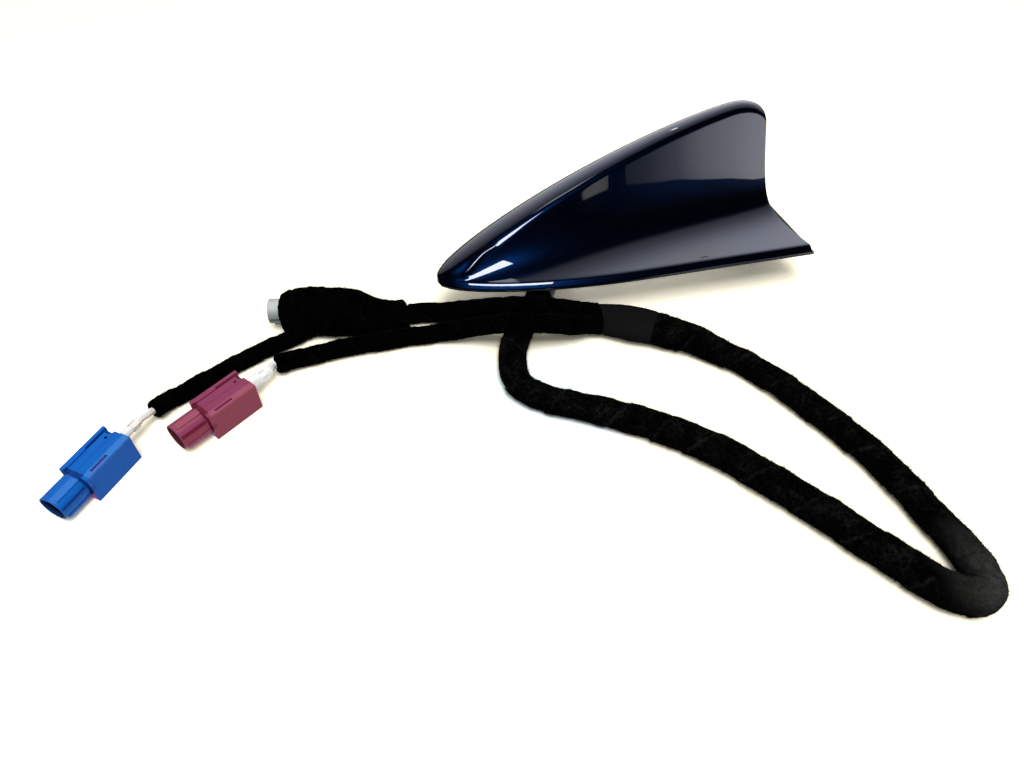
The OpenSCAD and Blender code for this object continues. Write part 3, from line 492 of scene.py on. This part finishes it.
LOWER = even([
    LOWER_START, LOWER_START + 4 * SPLIT_DIR, (-6.6, -31.9, -9), (-15.5, -31.9, -5.6), (-23.7, -30.9, -3.4),
    (-31.3, -28.5, -3.2), (-38.5, -24.6, -5.4), (-45.5, -20.2, -8.9), (-52.9, -16.3, -11.9),
    (-60.8, -13.9, -13.5), (-71.7, -12.1, -13.9), (-83.1, -11.1, -13.9), (-94.3, -10, -13.9),
    (-105.2, -10, -13.9), (-115.2, -10.4, -13.7), (-124.6, -12.2, -12.4),
], 7.4)
BLUE_RUN = even([
    (-101, 6.4, -12.4), (-107.6, 5, -13.3), (-114.3, 3.1, -13.9), (-117, 2.6, -14.1),
    (-120.6, 1.5, -14.2), (-131.9, -2.1, -14.2), (-141.2, -5.9, -14.2), (-149.9, -9.8, -14.2),
    (-160.9, -14.8, -14.2), (-166.5, -17.9, -13.6), (-170.6, -21.6, -12.4),
], 6.8)


def lengths(points):
    """The length along a line of points up to each of them."""
    return np.concatenate([[0], np.cumsum(np.linalg.norm(np.diff(points, axis=0), axis=1))])


def resampled(rows, s, at):
    """Rows known at the lengths s, read at other lengths."""
    return np.stack([np.interp(at, s, rows[:, c]) for c in range(rows.shape[1])], 1)


KNOT_STEPS = 24


def smooth_line(rows, step):
    """Rows of a Catmull-Rom curve through these rows, a step apart, and the length up to each."""
    p = np.array(rows, float)
    p = np.vstack([2 * p[0] - p[1], p, 2 * p[-1] - p[-2]])
    out = []
    for i in range(1, len(p) - 2):
        knots = [0.0]
        for a, b in ((i - 1, i), (i, i + 1), (i + 1, i + 2)):
            knots.append(knots[-1] + max(np.linalg.norm(p[b, :3] - p[a, :3]), 1e-6) ** 0.5)
        t0, t1, t2, t3 = knots
        t = np.linspace(t1, t2, KNOT_STEPS, endpoint=False)[:, None]
        a1 = (t1 - t) / (t1 - t0) * p[i - 1] + (t - t0) / (t1 - t0) * p[i]
        a2 = (t2 - t) / (t2 - t1) * p[i] + (t - t1) / (t2 - t1) * p[i + 1]
        a3 = (t3 - t) / (t3 - t2) * p[i + 1] + (t - t2) / (t3 - t2) * p[i + 2]
        b1 = (t2 - t) / (t2 - t0) * a1 + (t - t0) / (t2 - t0) * a2
        b2 = (t3 - t) / (t3 - t1) * a2 + (t - t1) / (t3 - t1) * a3
        out.append((t2 - t) / (t2 - t1) * b1 + (t - t1) / (t2 - t1) * b2)
    out = np.vstack([*out, p[-2]])
    s = lengths(out[:, :3])
    at = np.linspace(0, s[-1], max(2, round(s[-1] / step)) + 1)
    return resampled(out, s, at), at


def rings(rows, step, sides, exponent=1.0):
    """Ring points round a route, their normals, the lengths along it, the angles round it and its rows.

    An exponent under 1 makes the rings squarer than an ellipse.
    """
    line, s = smooth_line(rows, step)
    t = unit(np.gradient(line[:, :3], axis=0))
    side = unit(np.cross(UP, t))
    top = np.cross(t, side)
    a = np.arange(sides) * 2 * math.pi / sides
    c, n = np.cos(a), np.sin(a)
    c, n = np.sign(c) * np.abs(c) ** exponent, np.sign(n) * np.abs(n) ** exponent
    w, h = line[:, 3:4, None] / 2, line[:, 4:5, None] / 2
    points = line[:, None, :3] + w * c[None, :, None] * side[:, None]
    points = points + h * n[None, :, None] * top[:, None]
    lean = 2 / exponent - 1
    nc, nn = np.sign(c) * np.abs(c) ** lean, np.sign(n) * np.abs(n) ** lean
    normals = unit(nc[None, :, None] / w * side[:, None] + nn[None, :, None] / h * top[:, None])
    return points, normals, s, a, line


def taper(s, first, last):
    """From 0 at the ends of a run to 1, over these lengths; a length of 0 leaves that end as it is."""
    a = np.clip(s / first, 0, 1) if first else np.ones_like(s)
    b = np.clip((s[-1] - s) / last, 0, 1) if last else np.ones_like(s)
    return a * b


# The pitch drifts by up to this share of a turn, anew after so many millimetres
DRIFT, DRIFT_EVERY = 0.22, 15.0
# Shares of a turn: where the tape steps up on the last turn, the step's softness, and its painted edge
# highlight
RISE, EDGE_W, SHINE_AT, SHINE_W = 0.035, 0.03, 0.03, 0.022


def wound(points, s, a, pitch, hand, thick, seed, ragged, lumps):
    """Height of the tape over the bundle, and how strongly each point takes the painted highlight along a
    turn's edge.

    The turns overlap with a drifting pitch, and the tape has soft lumps and a napped surface.
    """
    rng = np.random.default_rng(seed)
    knots = np.arange(0, s[-1] + 2 * DRIFT_EVERY, DRIFT_EVERY)
    drawn = rng.uniform(-DRIFT, DRIFT, int(s[-1] // DRIFT_EVERY) + 3)
    drift = np.interp(s, knots, drawn[:len(knots)])
    turn = (s / pitch + drift)[:, None] + hand * a[None, :] / (2 * math.pi)
    turn = turn + 0.016 * waves(points, 3.0, seed + 1) + 0.008 * waves(points, 1.1, seed + 2)
    f = turn % 1
    step = np.where(f < RISE, f / RISE, 1 - (f - RISE) / (1 - RISE))
    nap = rng.normal(size=points.shape[:2])
    nap = (nap + np.roll(nap, 1, 1) + np.roll(nap, -1, 1)) / 3
    nap[1:-1] = (nap[:-2] + nap[1:-1] + nap[2:]) / 3
    edge = np.exp(-((f - RISE) / EDGE_W) ** 2)
    height = thick * step
    height += lumps * (0.5 * waves(points, 11, seed + 3) + 0.3 * waves(points, 5, seed + 4))
    height += ragged * nap * 2 + 0.06 * waves(points, 1.6, seed + 5) + edge * 0.08 * np.abs(nap)
    bright = np.clip(0.55 + 0.5 * waves(points, 4, seed + 6), 0, 1)
    return height, np.exp(-((f - SHINE_AT) / SHINE_W) ** 2) * bright


def fuzz(name, points, normals, count, reach, seed):
    """Short curved fibres that stand off a napped surface, each a quad with a tip."""
    rng = np.random.default_rng(seed)
    p, n = points.reshape(-1, 3), normals.reshape(-1, 3)
    pick = rng.integers(0, len(p), count)
    p, n = p[pick], n[pick]
    lay = unit(rng.normal(size=(count, 3)))
    out = unit(n * rng.uniform(0.5, 1.2, (count, 1)) + lay * 0.75)
    length = reach * (0.35 + rng.exponential(0.45, (count, 1)).clip(0, 1.6))
    across = unit(np.cross(out, unit(rng.normal(size=(count, 3))))) * rng.uniform(0.04, 0.08, (count, 1))
    middle = p + out * length * 0.55
    tip = middle + unit(out + lay * 0.9) * length * 0.45
    root = p - n * 0.12
    bend = [middle + across * 0.7, middle - across * 0.7]
    ring = np.stack([root - across, root + across, *bend, tip], 1)
    base = (np.arange(count) * 5)[:, None]
    quads = (base + [0, 1, 2, 3]).tolist()
    tips = (base + [3, 2, 4]).tolist()
    ring[..., 2] = np.maximum(ring[..., 2], FLOOR_Z - 0.05)
    return build(name, ring.reshape(-1, 3), quads + tips, FIBRE, smooth=False)


# How deep the tape sinks in before its height is added, and how wide a closed end stays
SUNK, END_SHARE = 0.12, 0.72


def tape_run(name, rows, pitch, hand, thick, step, sides, seed, fibres, ends, mat,
             exponent=1.0, reach=0.75, lumps=0.22, ragged=0.07, mouth=None):
    """A taped run of the harness, with rounded ends or an open mouth, and the fibres that stand off it."""
    points, normals, s, a, line = rings(rows, step, sides, exponent)
    height, edge = wound(points, s, a, pitch, hand, thick, seed, ragged, lumps)
    centre = line[:, None, :3]
    shrink = np.sqrt(np.clip(taper(s, *ends), 0.02, 1))[:, None, None]
    points = points + (height - SUNK)[..., None] * normals
    points = centre + (points - centre) * (END_SHARE + (1 - END_SHARE) * shrink)
    points[..., 2] = np.maximum(points[..., 2], FLOOR_Z + 0.03 * waves(points, 2, seed + 9))
    napped = points
    last_centre = line[-1, :3]
    if mouth is not None:
        points, last_centre = open_mouth(points, line, a, *mouth)
        edge = np.vstack([edge, np.zeros((len(points) - len(edge), sides))])
    n, k = points.shape[:2]
    flat = np.vstack([points.reshape(-1, 3), line[0, :3], last_centre])
    first, last = n * k, n * k + 1
    caps = [(first, (j + 1) % k, j) for j in range(k)]
    caps += [(last, (n - 1) * k + j, (n - 1) * k + (j + 1) % k) for j in range(k)]
    ob = build(name, flat, grid_faces(n, k).tolist() + caps, mat)
    # How strongly each point takes the painted highlight along a turn's edge
    rim = ob.data.attributes.new("turn_edge_highlight", "FLOAT", "POINT")
    rim.data.foreach_set("value", np.concatenate([edge.reshape(-1), [0, 0]]))
    # The fibres go with their run, so they ride on it and on no body of their own
    loose = fuzz(name + "_fibres", napped, normals, fibres, reach, seed + 20)
    loose.parent = ob
    del loose["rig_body"]
    return ob, line


def open_mouth(points, line, angles, centre, radius, depth):
    """Turns the last ring in to a ragged round hole about a neck, and back along it."""
    t = unit(line[-1, :3] - line[-3, :3])
    side = unit(np.cross(UP, t))
    top = np.cross(t, side)
    around = np.cos(angles)[:, None] * side + np.sin(angles)[:, None] * top
    rough = 0.25 * waves(points[-1], 2.4, 77)[:, None]
    centre = np.asarray(centre, float)
    lip = centre + around * (radius + 0.35 + rough)
    inner = lip - around * 0.3
    outer = points[-1]
    swell = 0.55 * t
    rows = [
        outer * 0.66 + lip * 0.34 + swell + 0.3 * rough * t, outer * 0.3 + lip * 0.7 + swell * 0.9,
        lip + 0.25 * t, inner - 0.5 * t, inner - 0.5 * depth * t, inner - depth * t,
    ]
    return np.concatenate([points, np.array(rows)]), centre - depth * t


# Each run: route, pitch, hand, tape's thickness, step, sides, seed, fibres, lengths of the rounded ends
trunk, trunk_line = tape_run("trunk_tape", TRUNK, 19, 1, 0.5, 0.55, 72, 11, 42000, (1.2, 0), FLEECE,
                             reach=0.9)
band, _ = tape_run("band_tape", BAND_ROWS, 40, 1, 0.1, 0.4, 72, 12, 300, (0, 0), BAND,
                   reach=0.4, lumps=0.12, ragged=0.015)
upper, upper_line = tape_run("upper_tape", UPPER, 16, 1, 0.35, 0.5, 56, 13, 5000, (0, 1.2), DENSE)
lower, lower_line = tape_run("lower_tape", LOWER, 15, -1, 0.35, 0.5, 52, 14, 6000, (0, 1.0), DENSE)
blue_run, blue_line = tape_run("blue_tape", BLUE_RUN, 14, 1, 0.35, 0.45, 48, 15, 4500, (1.2, 0.8), DENSE)
# The open end of the thick winding: its centre, radius and depth
GREY_MOUTH = (on_plug("grey", (26.2, AXIS_Y, AXIS_Z)), NECK_D / 2 + 0.25, 4.5)
lump, _ = tape_run("lump_tape", LUMP_ROWS, 14, -1, 0.4, 0.5, 96, 16, 6000, (1.2, 0), DENSE,
                   exponent=0.62, lumps=0.35, mouth=GREY_MOUTH)

for piece, nodes in (
    (trunk, "harness_trunk"), (band, "split_band"), (upper, "upper_branch"), (lower, "lower_branch"),
    (blue_run, "blue_branch"), (lump, "lump_wrap"),
):
    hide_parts(nodes)


cad = frame["nodes"]

# Finishes of the CAD's own nodes
FINISHES = {
    PAINT: ["fin_cover"],
    RUBBER: ["rim_seal", "hole_seal", "cable_boot"],
    CASTING: ["base_plate"],
    STEEL: ["cover_screws", "board_screws", "lead_clamp"],
    BOARD: ["main_board"],
    CERAMIC: ["patch_ceramic"],
    SILVER: ["patch_electrode"],
    NICKEL: ["patch_pin", "shield_can", "shell_blue", "shell_bordeaux", "shell_grey", "ferrule_grey"],
    SLEEVE: ["ferrule_blue", "coax_blue"],
    BRIGHT_SLEEVE: ["ferrule_bordeaux", "coax_bordeaux"],
    HOLDER: ["element_holder"],
    BRASS: ["phone_element"],
    COPPER: ["remote_element"],
    LEAD: ["inner_lead_gps", "inner_lead_phone", "inner_lead_remote"],
    BLUE: ["housing_blue"],
    BORDEAUX: ["housing_bordeaux"],
    GREY: ["housing_grey"],
    LOCK: ["lock_blue", "lock_bordeaux", "lock_grey"],
    WHITE: ["insulator_blue", "insulator_bordeaux", "insulator_grey"],
    GOLD: ["contact_blue", "contact_bordeaux", "contact_grey"],
}
for mat, names in FINISHES.items():
    for name in names:
        mesh = cad[name].data
        mesh.materials.clear()
        mesh.materials.append(mat)


# The roof stud in millimetres: its place and diameters, then its heights over the roof
STUD_X, STUD_D, SHANK_D, HEAD_D = 6.5, 8, 8.6, 11
PLATE_TOP, HEAD_T, BOSS_H, REACH = 3.7, 1.5, 6, 15
PITCH, THREAD_DEPTH, THREAD_SIDES, THREAD_STEP, TIP_CHAMFER = 1.25, 0.65, 48, 0.1, 0.8


def stud():
    """The roof stud with its rolled thread, from the tip's chamfer up to the head."""
    sides, head_z = THREAD_SIDES, PLATE_TOP - HEAD_T
    outline = [(-REACH + THREAD_STEP * i, STUD_D / 2 - max(0, TIP_CHAMFER - THREAD_STEP * i))
               for i in range(round((REACH - BOSS_H) / THREAD_STEP))]
    outline += [
        (-BOSS_H, STUD_D / 2 - 0.3), (-BOSS_H + 0.05, SHANK_D / 2 - 0.15), (-BOSS_H + 0.2, SHANK_D / 2),
        (head_z, SHANK_D / 2), (head_z, HEAD_D / 2 - 0.2), (head_z + 0.2, HEAD_D / 2),
        (PLATE_TOP - 0.25, HEAD_D / 2), (PLATE_TOP, HEAD_D / 2 - 0.25),
    ]
    z, r = np.array(outline[::-1]).T[:, :, None]
    a = np.linspace(0, 2 * np.pi, sides, endpoint=False)[None, :]
    turn = np.abs((z / PITCH + a / (2 * np.pi)) % 1 - 0.5) * 2
    threaded = np.clip((z + REACH) / 1.2, 0, 1) * np.clip((-BOSS_H - 0.4 - z) / 0.6, 0, 1)
    r = r - THREAD_DEPTH * threaded * np.clip(1.15 * turn - 0.1, 0, 1)
    points = np.stack([STUD_X + r * np.cos(a), r * np.sin(a), z + 0 * a], -1)
    n = len(outline)
    flat = np.vstack([points.reshape(-1, 3), (STUD_X, 0, PLATE_TOP), (STUD_X, 0, -REACH)])
    faces = grid_faces(n, sides).tolist()
    top, tip, tip_ring = n * sides, n * sides + 1, (n - 1) * sides
    faces += [(top, j, (j + 1) % sides) for j in range(sides)]
    faces += [(tip, tip_ring + (j + 1) % sides, tip_ring + j) for j in range(sides)]
    ob = build("stud_thread", flat, faces, STEEL)
    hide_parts("roof_stud")


stud()


# Softened edges: welded within so many metres, sharp from this angle in degrees, and widths in millimetres
WELD_WITHIN, SHARP_FROM, EDGE_SEGMENTS = 2e-6, 35, 3
HOUSING_EDGE, LOCK_EDGE = 0.28, 0.15


def soften(name, width):
    """Rounds a CAD node's sharp edges with modifiers, which leave its own mesh as it is."""
    ob = cad[name]
    weld = ob.modifiers.new("weld", "WELD")
    weld.merge_threshold = WELD_WITHIN
    bevel = ob.modifiers.new("edges", "BEVEL")
    bevel.width, bevel.segments, bevel.limit_method = width * MM, EDGE_SEGMENTS, "ANGLE"
    bevel.angle_limit = math.radians(SHARP_FROM)
    ob.data.polygons.foreach_set("use_smooth", [True] * len(ob.data.polygons))
    weighted = ob.modifiers.new("normals", "WEIGHTED_NORMAL")
    weighted.keep_sharp = True


for plug in PLUGS:
    soften(f"housing_{plug}", HOUSING_EDGE)
    soften(f"lock_{plug}", LOCK_EDGE)


# Fin skin in millimetres: x runs from the nose to the tail, and the nose is at -NOSE_X in the part's frame
FIN_L, FIN_W, FIN_H, NOSE_Z = 157, 65, 58.6, 4.8
CROWN_X, BLADE_X, TRAIL_Z, NOSE_X = 123, 137.5, 49, 55
RIDGE_HALF, BLADE_HALF, LEAN, SWEEP, REAR_SAG = 12, 3, 9, 7, 8
LIP_W, LIP_ROLL, CAVITY_W, SEAL_H, WALL_H = 6.5, 1.75, 34, 1.2, 1.5
# The plan: share of the length that the nose takes, how blunt it is, and how much the foot narrows toward it
NOSE_SHARE, NOSE_POWER, NARROWING = 0.5235, 2.16, 0.47
# The side view: how the ridge climbs and how round it is
CLIMB, CLIMB_ROUND = 1.36, 0.81
# The ridge's half width: how early it narrows, and its largest share of the foot's half width
NARROWS, RIDGE_SHARE = 0.34, 0.8
# The crease's drop under the ridge: at the nose, more at the tail, at least, and at most of the height
DROP_NOSE, DROP_TAIL, DROP_LEAST, DROP_MOST = 0.57, 0.26, 0.15, 0.4
# The flank's hollow at the tail, and how late it comes
HOLLOW, HOLLOW_POWER = 24, 2.6
# The lip's top edge at the nose, and its rise up to the tail
LIP_NOSE, LIP_RISE = 4.7, 0.6
# The lip's section: shares of its reach outward and of its drop
LIP_PROFILE = ((0.12, 0.02), (0.3, 0.12), (0.9, 0.8), (1.0, 0.92), (0.98, 0.98), (0.8, 1.0))
# A section's points: over the ridge's arc, down the flank, and even ones to smooth
ARC, ARC_STEPS, FLANK_STEPS, FLANK_SPREAD, SMOOTH_STEPS = math.radians(75), 24, 90, 1.7, 500
# Smoothing: everywhere, and round the crease where it fades out toward the nose
EDGE_SOFT, CREASE_SOFT, CREASE_SHARP_X, CREASE_FADE, CREASE_REACH = 0.45, 2.2, 62, 40, 3


def half(x):
    """The foot's half width."""
    t = min(x / FIN_L, 1)
    nose = 1 if t >= NOSE_SHARE else (1 - (1 - max(t, 0) / NOSE_SHARE) ** NOSE_POWER) ** 0.5
    return FIN_W / 2 * (1 + NARROWING * (t - 1)) * nose


def ridge_z(x):
    """The height of the ridge's middle."""
    if x < CROWN_X:
        return NOSE_Z + (FIN_H - NOSE_Z) * (1 - (1 - x / CROWN_X) ** CLIMB) ** CLIMB_ROUND
    past = (x - CROWN_X) / (BLADE_X - CROWN_X)
    return TRAIL_Z + (FIN_H - TRAIL_Z) * math.sqrt(max(0, 1 - past ** 2))


def band_half(x):
    """The ridge's half width."""
    b = RIDGE_HALF + (BLADE_HALF - RIDGE_HALF) * (x / BLADE_X) ** NARROWS
    w = RIDGE_SHARE * half(x)
    return 0 if w < 0.01 else 1 / math.sqrt(1 / (w * w) + 1 / (b * b))


def lip_z(x):
    """The height of the lip's upper edge."""
    return LIP_NOSE + LIP_RISE * x / BLADE_X


def crease_z(x):
    """The height of the crease between ridge and flank."""
    z = ridge_z(x)
    drop = (DROP_NOSE + DROP_TAIL * x / BLADE_X) * band_half(x)
    return z - min(max(drop, DROP_LEAST), DROP_MOST * (z - lip_z(x)))


def flank(x, s):
    """How far out the flank is, from 1 at the foot (s = 0) to 0 at the crease (s = 1)."""
    return (1 - s) / (1 + (1 + HOLLOW * (x / BLADE_X) ** HOLLOW_POWER) * s)


def softened(points, width):
    """A half section smoothed over this width in steps, mirrored at its middle and carried on at its end."""
    reach = int(min(3 * width + 1, 120))
    kernel = np.exp(-0.5 * (np.arange(-reach, reach + 1) / max(width, 0.3)) ** 2)
    kernel /= kernel.sum()
    beyond = 2 * points[-1] - points[-2:-2 - reach:-1]
    padded = np.vstack([points[reach:0:-1] * [1, -1, 1], points, beyond])
    return np.stack([np.convolve(padded[:, c], kernel, "valid") for c in range(3)], 1)


def fin_section(x, count):
    """One half section of the skin as evenly spaced points, with the crease and the lip rounded."""
    shear = (x / BLADE_X) ** 3
    foot = x + shear * (LEAN + SWEEP)
    out = 1.5 * shear
    w = half(foot + out)
    r = min(LIP_ROLL, 0.3 * half(x))
    wf = w - r
    b = min(band_half(x), wf)
    zr, zc, zl = ridge_z(x), crease_z(x), lip_z(x)
    pts = []
    for i in range(ARC_STEPS):
        a = ARC * i / ARC_STEPS
        fall = (1 - math.cos(a)) / (1 - math.cos(ARC))
        pts.append((x, b * math.sin(a) / math.sin(ARC), zr - (zr - zc) * fall))
    for i in range(FLANK_STEPS):
        s = (1 - i / (FLANK_STEPS - 1)) ** FLANK_SPREAD
        q = flank(x, s)
        pts.append((x + shear * (LEAN * (1 - s) + SWEEP * q), b + (wf - b) * q, zl + (zc - zl) * s))
    for reach, drop in LIP_PROFILE:
        pts.append((foot + out * reach, wf + r * reach, zl - (zl - SEAL_H) * drop))
    pts = np.array(pts)
    s = lengths(pts)
    fine = np.linspace(0, s[-1], SMOOTH_STEPS)
    step = max(s[-1] / (SMOOTH_STEPS - 1), 1e-6)
    soft = softened(resampled(pts, s, fine), EDGE_SOFT / step)
    fading = float(np.clip((CREASE_SHARP_X - x) / CREASE_FADE, 0, 1))
    near_crease = np.exp(-0.5 * ((fine[:, None] - b * 1.3) / CREASE_REACH) ** 2)
    soft = soft + (softened(soft, CREASE_SOFT * fading / step) - soft) * near_crease
    soft[0, 1] = 0
    return resampled(soft, np.arange(SMOOTH_STEPS), np.linspace(0, SMOOTH_STEPS - 1, count))


# The soft fold at the nose in the part's frame: its middle line, its height, its width, and its rearmost x
BEAD = smooth_line(even([
    (-31, -5.9, 19), (-36.6, -5.9, 16.3), (-39.2, -6.1, 14.1), (-42.7, -6.3, 10.1), (-45, -6.3, 7.4),
    (-44.6, -6.8, 6.4),
], 1), 0.4)[0][:, :3]
BEAD_H, BEAD_W, BEAD_END_X = 0.5, 0.8, -20


def press_bead(points):
    """Raises the soft fold that runs down from the crease to the point of the nose, on both sides.

    It grows over the first 12 points of its line and sinks to 0.3 over the last 6.
    """
    out = points.copy()
    near = points[..., 0] < BEAD_END_X
    p = points[near]
    folded = np.stack([p[:, 0], -np.abs(p[:, 1]), p[:, 2]], 1)
    d = np.linalg.norm(folded[:, None] - BEAD[None], axis=2)
    fade = np.interp(d.argmin(1), [0, 12, len(BEAD) - 6, len(BEAD) - 1], [0, 1, 1, 0.3])
    lift = BEAD_H * fade * np.exp(-0.5 * (d.min(1) / BEAD_W) ** 2)
    out[near, 1] += np.sign(p[:, 1]) * lift
    return out


# The skin's mesh: stations along the fin, points in a half section, and columns of the rear face
STATIONS, HALF_POINTS, CAP_COLS = 240, 100, 41
# The rear face: its swell where the blade is thin, and the half width from which the swell is full
REAR_SWELL, SWELL_FROM = 1.2, 2.8
# The rim's inner edge: its ends along the part's x, and the x from the nose up to which the foot guides it
INNER_FIRST, INNER_LAST, GUIDED_TO = 9 - NOSE_X, 88, 150


def rim_inner(p):
    """The point of the cavity's edge that belongs to a point of the foot's rim."""
    width = min(half(min(p[0] + NOSE_X, GUIDED_TO)) - LIP_W, CAVITY_W / 2)
    limit = max(0.3, width)
    return min(max(p[0], INNER_FIRST), INNER_LAST), np.clip(p[1], -limit, limit), SEAL_H


def fin_skin():
    """The painted cover: both flanks over close stations, the hollow rear face and the foot's rim."""
    u = (1 - np.cos(np.pi * np.arange(STATIONS + 1) / STATIONS)) / 2
    halves = np.array([fin_section(BLADE_X * v, HALF_POINTS) for v in u])
    halves[..., 0] -= NOSE_X
    halves = press_bead(halves)
    left = halves[:, ::-1] * [1, -1, 1]
    skin = np.concatenate([left, halves[:, 1:]], 1)
    rows, cols = skin.shape[:2]
    faces = grid_faces(rows, cols, closed=False).tolist()
    x, width, z = halves[-1].T[:, :, None]
    f = np.minimum(1, width / (FIN_W / 2))
    across = np.linspace(-1, 1, CAP_COLS)[None, :]
    bulge = (REAR_SWELL * (1 - f) - REAR_SAG * f) * (1 - across ** 2)
    bulge = bulge * np.minimum(1, width / SWELL_FROM)
    cap = np.stack([x + bulge, width * across, z + 0 * across], -1)
    faces += grid_faces(HALF_POINTS, CAP_COLS, closed=False, start=rows * cols).tolist()
    rim = np.vstack([skin[:, 0], cap[-1, 1:-1], skin[::-1, -1]])
    inner = np.array([rim_inner(p) for p in rim])
    points = np.vstack([skin.reshape(-1, 3), cap.reshape(-1, 3), rim, inner, inner + [0, 0, WALL_H]])
    m = len(rim)
    start = rows * cols + HALF_POINTS * CAP_COLS
    faces += grid_faces(3, m, start=start)[:, [0, 3, 2, 1]].tolist()
    return points, faces


SKIN_WELD = 1e-5
fin_points, fin_faces = fin_skin()
fin = build("fin_skin", fin_points, fin_faces, PAINT)
weld = fin.modifiers.new("weld", "WELD")
weld.merge_threshold = SKIN_WELD
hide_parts("fin_cover")


# Floor, world and lamps
DAYLIGHT = heading(18, 45)
SOFT_LIGHT = heading(-168, 68)
# Brightness in reflections: of the sky by its nearness to the daylight, of the sheet by azimuth in degrees
SKY_TOP, SHEET_TOP, SHEET_FROM, SHEET_TO = 2.8, 2.4, 135, 161
SKY_STOPS = [
    (0.0, 0.01), (0.05, 0.01), (0.14, 0.06), (0.27, 0.42), (0.5, 0.72), (0.65, 1.1), (0.79, 1.65),
    (0.91, 2.4), (1.0, 2.7),
]
SHEET_STOPS = [
    (136, 2.35), (140, 2.35), (144, 1.75), (146, 1.3), (148, 0.62), (150.7, 0.28), (154.0, 0.14),
    (155.4, 0.06), (155.9, 0.7), (157.5, 0.95), (159.6, 0.95), (160.2, 0.0),
]
TABLE_HALF, TABLE_GAP, TABLE_GREY = 3.0, 0.04, (0.93, 0.93, 0.93)
# The sheet as the camera sees it, exposed to stay white: its shadows are warm, and a bluish tint
# painted into it beside the trunk's elbow makes the shadow there cool
WARM_PAPER, COOL_PAPER = (1.60, 1.52, 1.24, 1), (1.45, 1.56, 1.62, 1)


def add_floor():
    """A white sheet, exposed to stay white outside the deeper shadows; these are warm, and bluish where a
    tint is painted in.
    """
    h = TABLE_HALF
    mesh = bpy.data.meshes.new("table")
    mesh.from_pydata([(-h, -h, 0), (h, -h, 0), (h, h, 0), (-h, h, 0)], [], [(0, 1, 2, 3)])
    ob = link("table", mesh)
    ob.location = (0, 0, (FLOOR_Z - TABLE_GAP) * MM)
    ob.visible_glossy = False
    mat = material("white_table", TABLE_GREY, 0.9, specular_ior_level=0.0)
    seen = node(mat, "ShaderNodeLightPath").outputs["Is Camera Ray"]
    x, y, _ = parts_of(mat, node(mat, "ShaderNodeNewGeometry").outputs["Position"])
    # A bluish tint painted into the sheet beside the trunk's elbow, so that the shadow there looks cool
    cool_shade_tint = product(mat, slope_to(mat, x, -0.002, -0.012), slope_to(mat, x, -0.060, -0.045),
                   slope_to(mat, y, -0.030, -0.042))
    paper = mix(mat, cool_shade_tint, WARM_PAPER, COOL_PAPER)
    into(mat, "Base Color", mix(mat, seen, (*TABLE_GREY, 1), paper))
    mesh.materials.append(mat)


def add_world():
    """Soft daylight, white to the camera, and in reflections a lit sky over a white sheet and a dark room."""
    world = bpy.data.worlds.new("studio")
    scene.world = world
    world.use_nodes = True
    background = world.node_tree.nodes["Background"]
    way = node(world, "ShaderNodeTexCoord").outputs["Generated"]
    x, y, z = parts_of(world, way)
    facing, soft = (
        node(world, "ShaderNodeVectorMath", {0: way, 1: tuple(v)}, operation="DOT_PRODUCT").outputs["Value"]
        for v in (DAYLIGHT, SOFT_LIGHT)
    )
    sky = ramp(world, slope_to(world, facing, -0.1, 1.0), [(p, v / SKY_TOP) for p, v in SKY_STOPS])
    sky = product(world, sky, SKY_TOP)
    azimuth = product(world, math_node(world, "ARCTAN2", x, y), 180 / math.pi)
    elevation = product(world, math_node(world, "ARCSINE", z), 180 / math.pi)
    stops = [((p - SHEET_FROM) / (SHEET_TO - SHEET_FROM), v / SHEET_TOP) for p, v in SHEET_STOPS]
    sheet = product(world, ramp(world, slope_to(world, azimuth, SHEET_FROM, SHEET_TO), stops), SHEET_TOP)
    # The elevation at which the sheet ends and the dark room begins
    end = math_node(world, "ADD", slope_to(world, azimuth, 140, 148, -19.4, -23.3),
                    slope_to(world, azimuth, 155.2, 160.0, 0.8, 3.4))
    under_end = slope_to(world, math_node(world, "SUBTRACT", elevation, end), 0.25, -0.25)
    sheet = product(world, under_end, slope_to(world, azimuth, 60, 70), sheet)
    below = math_node(world, "MAXIMUM", sheet, slope_to(world, elevation, -34, -50, 0.01, 0.8))
    mirrored = mix(world, slope_to(world, elevation, 0, 1), below, sky)
    light = product(world, math_node(world, "POWER", slope_to(world, soft, -0.8, 1.0), 1.2), 0.62)
    path = node(world, "ShaderNodeLightPath")
    strength = mix(world, path.outputs["Is Glossy Ray"], light, mirrored)
    strength = mix(world, path.outputs["Is Camera Ray"], strength, (1, 1, 1, 1))
    background.inputs["Color"].default_value = (1, 0.99, 0.97, 1)
    world.node_tree.links.new(strength, background.inputs["Strength"])


# Distance of the lamps in metres
LAMP_AWAY = 1.2


def lamp(name, azimuth, elevation, width, height, radiance, lights=True, reflects=True):
    """A soft box seen from the part in this direction, as wide and high as these angles in degrees."""
    light = bpy.data.lights.new(name, "AREA")
    light.shape = "RECTANGLE"
    light.size, light.size_y = (2 * LAMP_AWAY * math.tan(math.radians(v / 2)) for v in (width, height))
    light.energy = radiance * math.pi * light.size * light.size_y
    ob = link(name, light)
    ob.location = Vector(heading(azimuth, elevation)) * LAMP_AWAY
    ob.rotation_euler = (-ob.location).to_track_quat("-Z", "Y").to_euler()
    ob.visible_diffuse, ob.visible_glossy = lights, reflects


add_floor()
add_world()
lamp("soft_light", -168, 67, 26, 26, 9.2, reflects=False)
lamp("front_window", -160.5, 10, 28, 12, 16, lights=False)
lamp("side_window", -158, 49, 12, 9, 3, lights=False)
lamp("spark", 43, 84, 1.6, 1.6, 60, lights=False)
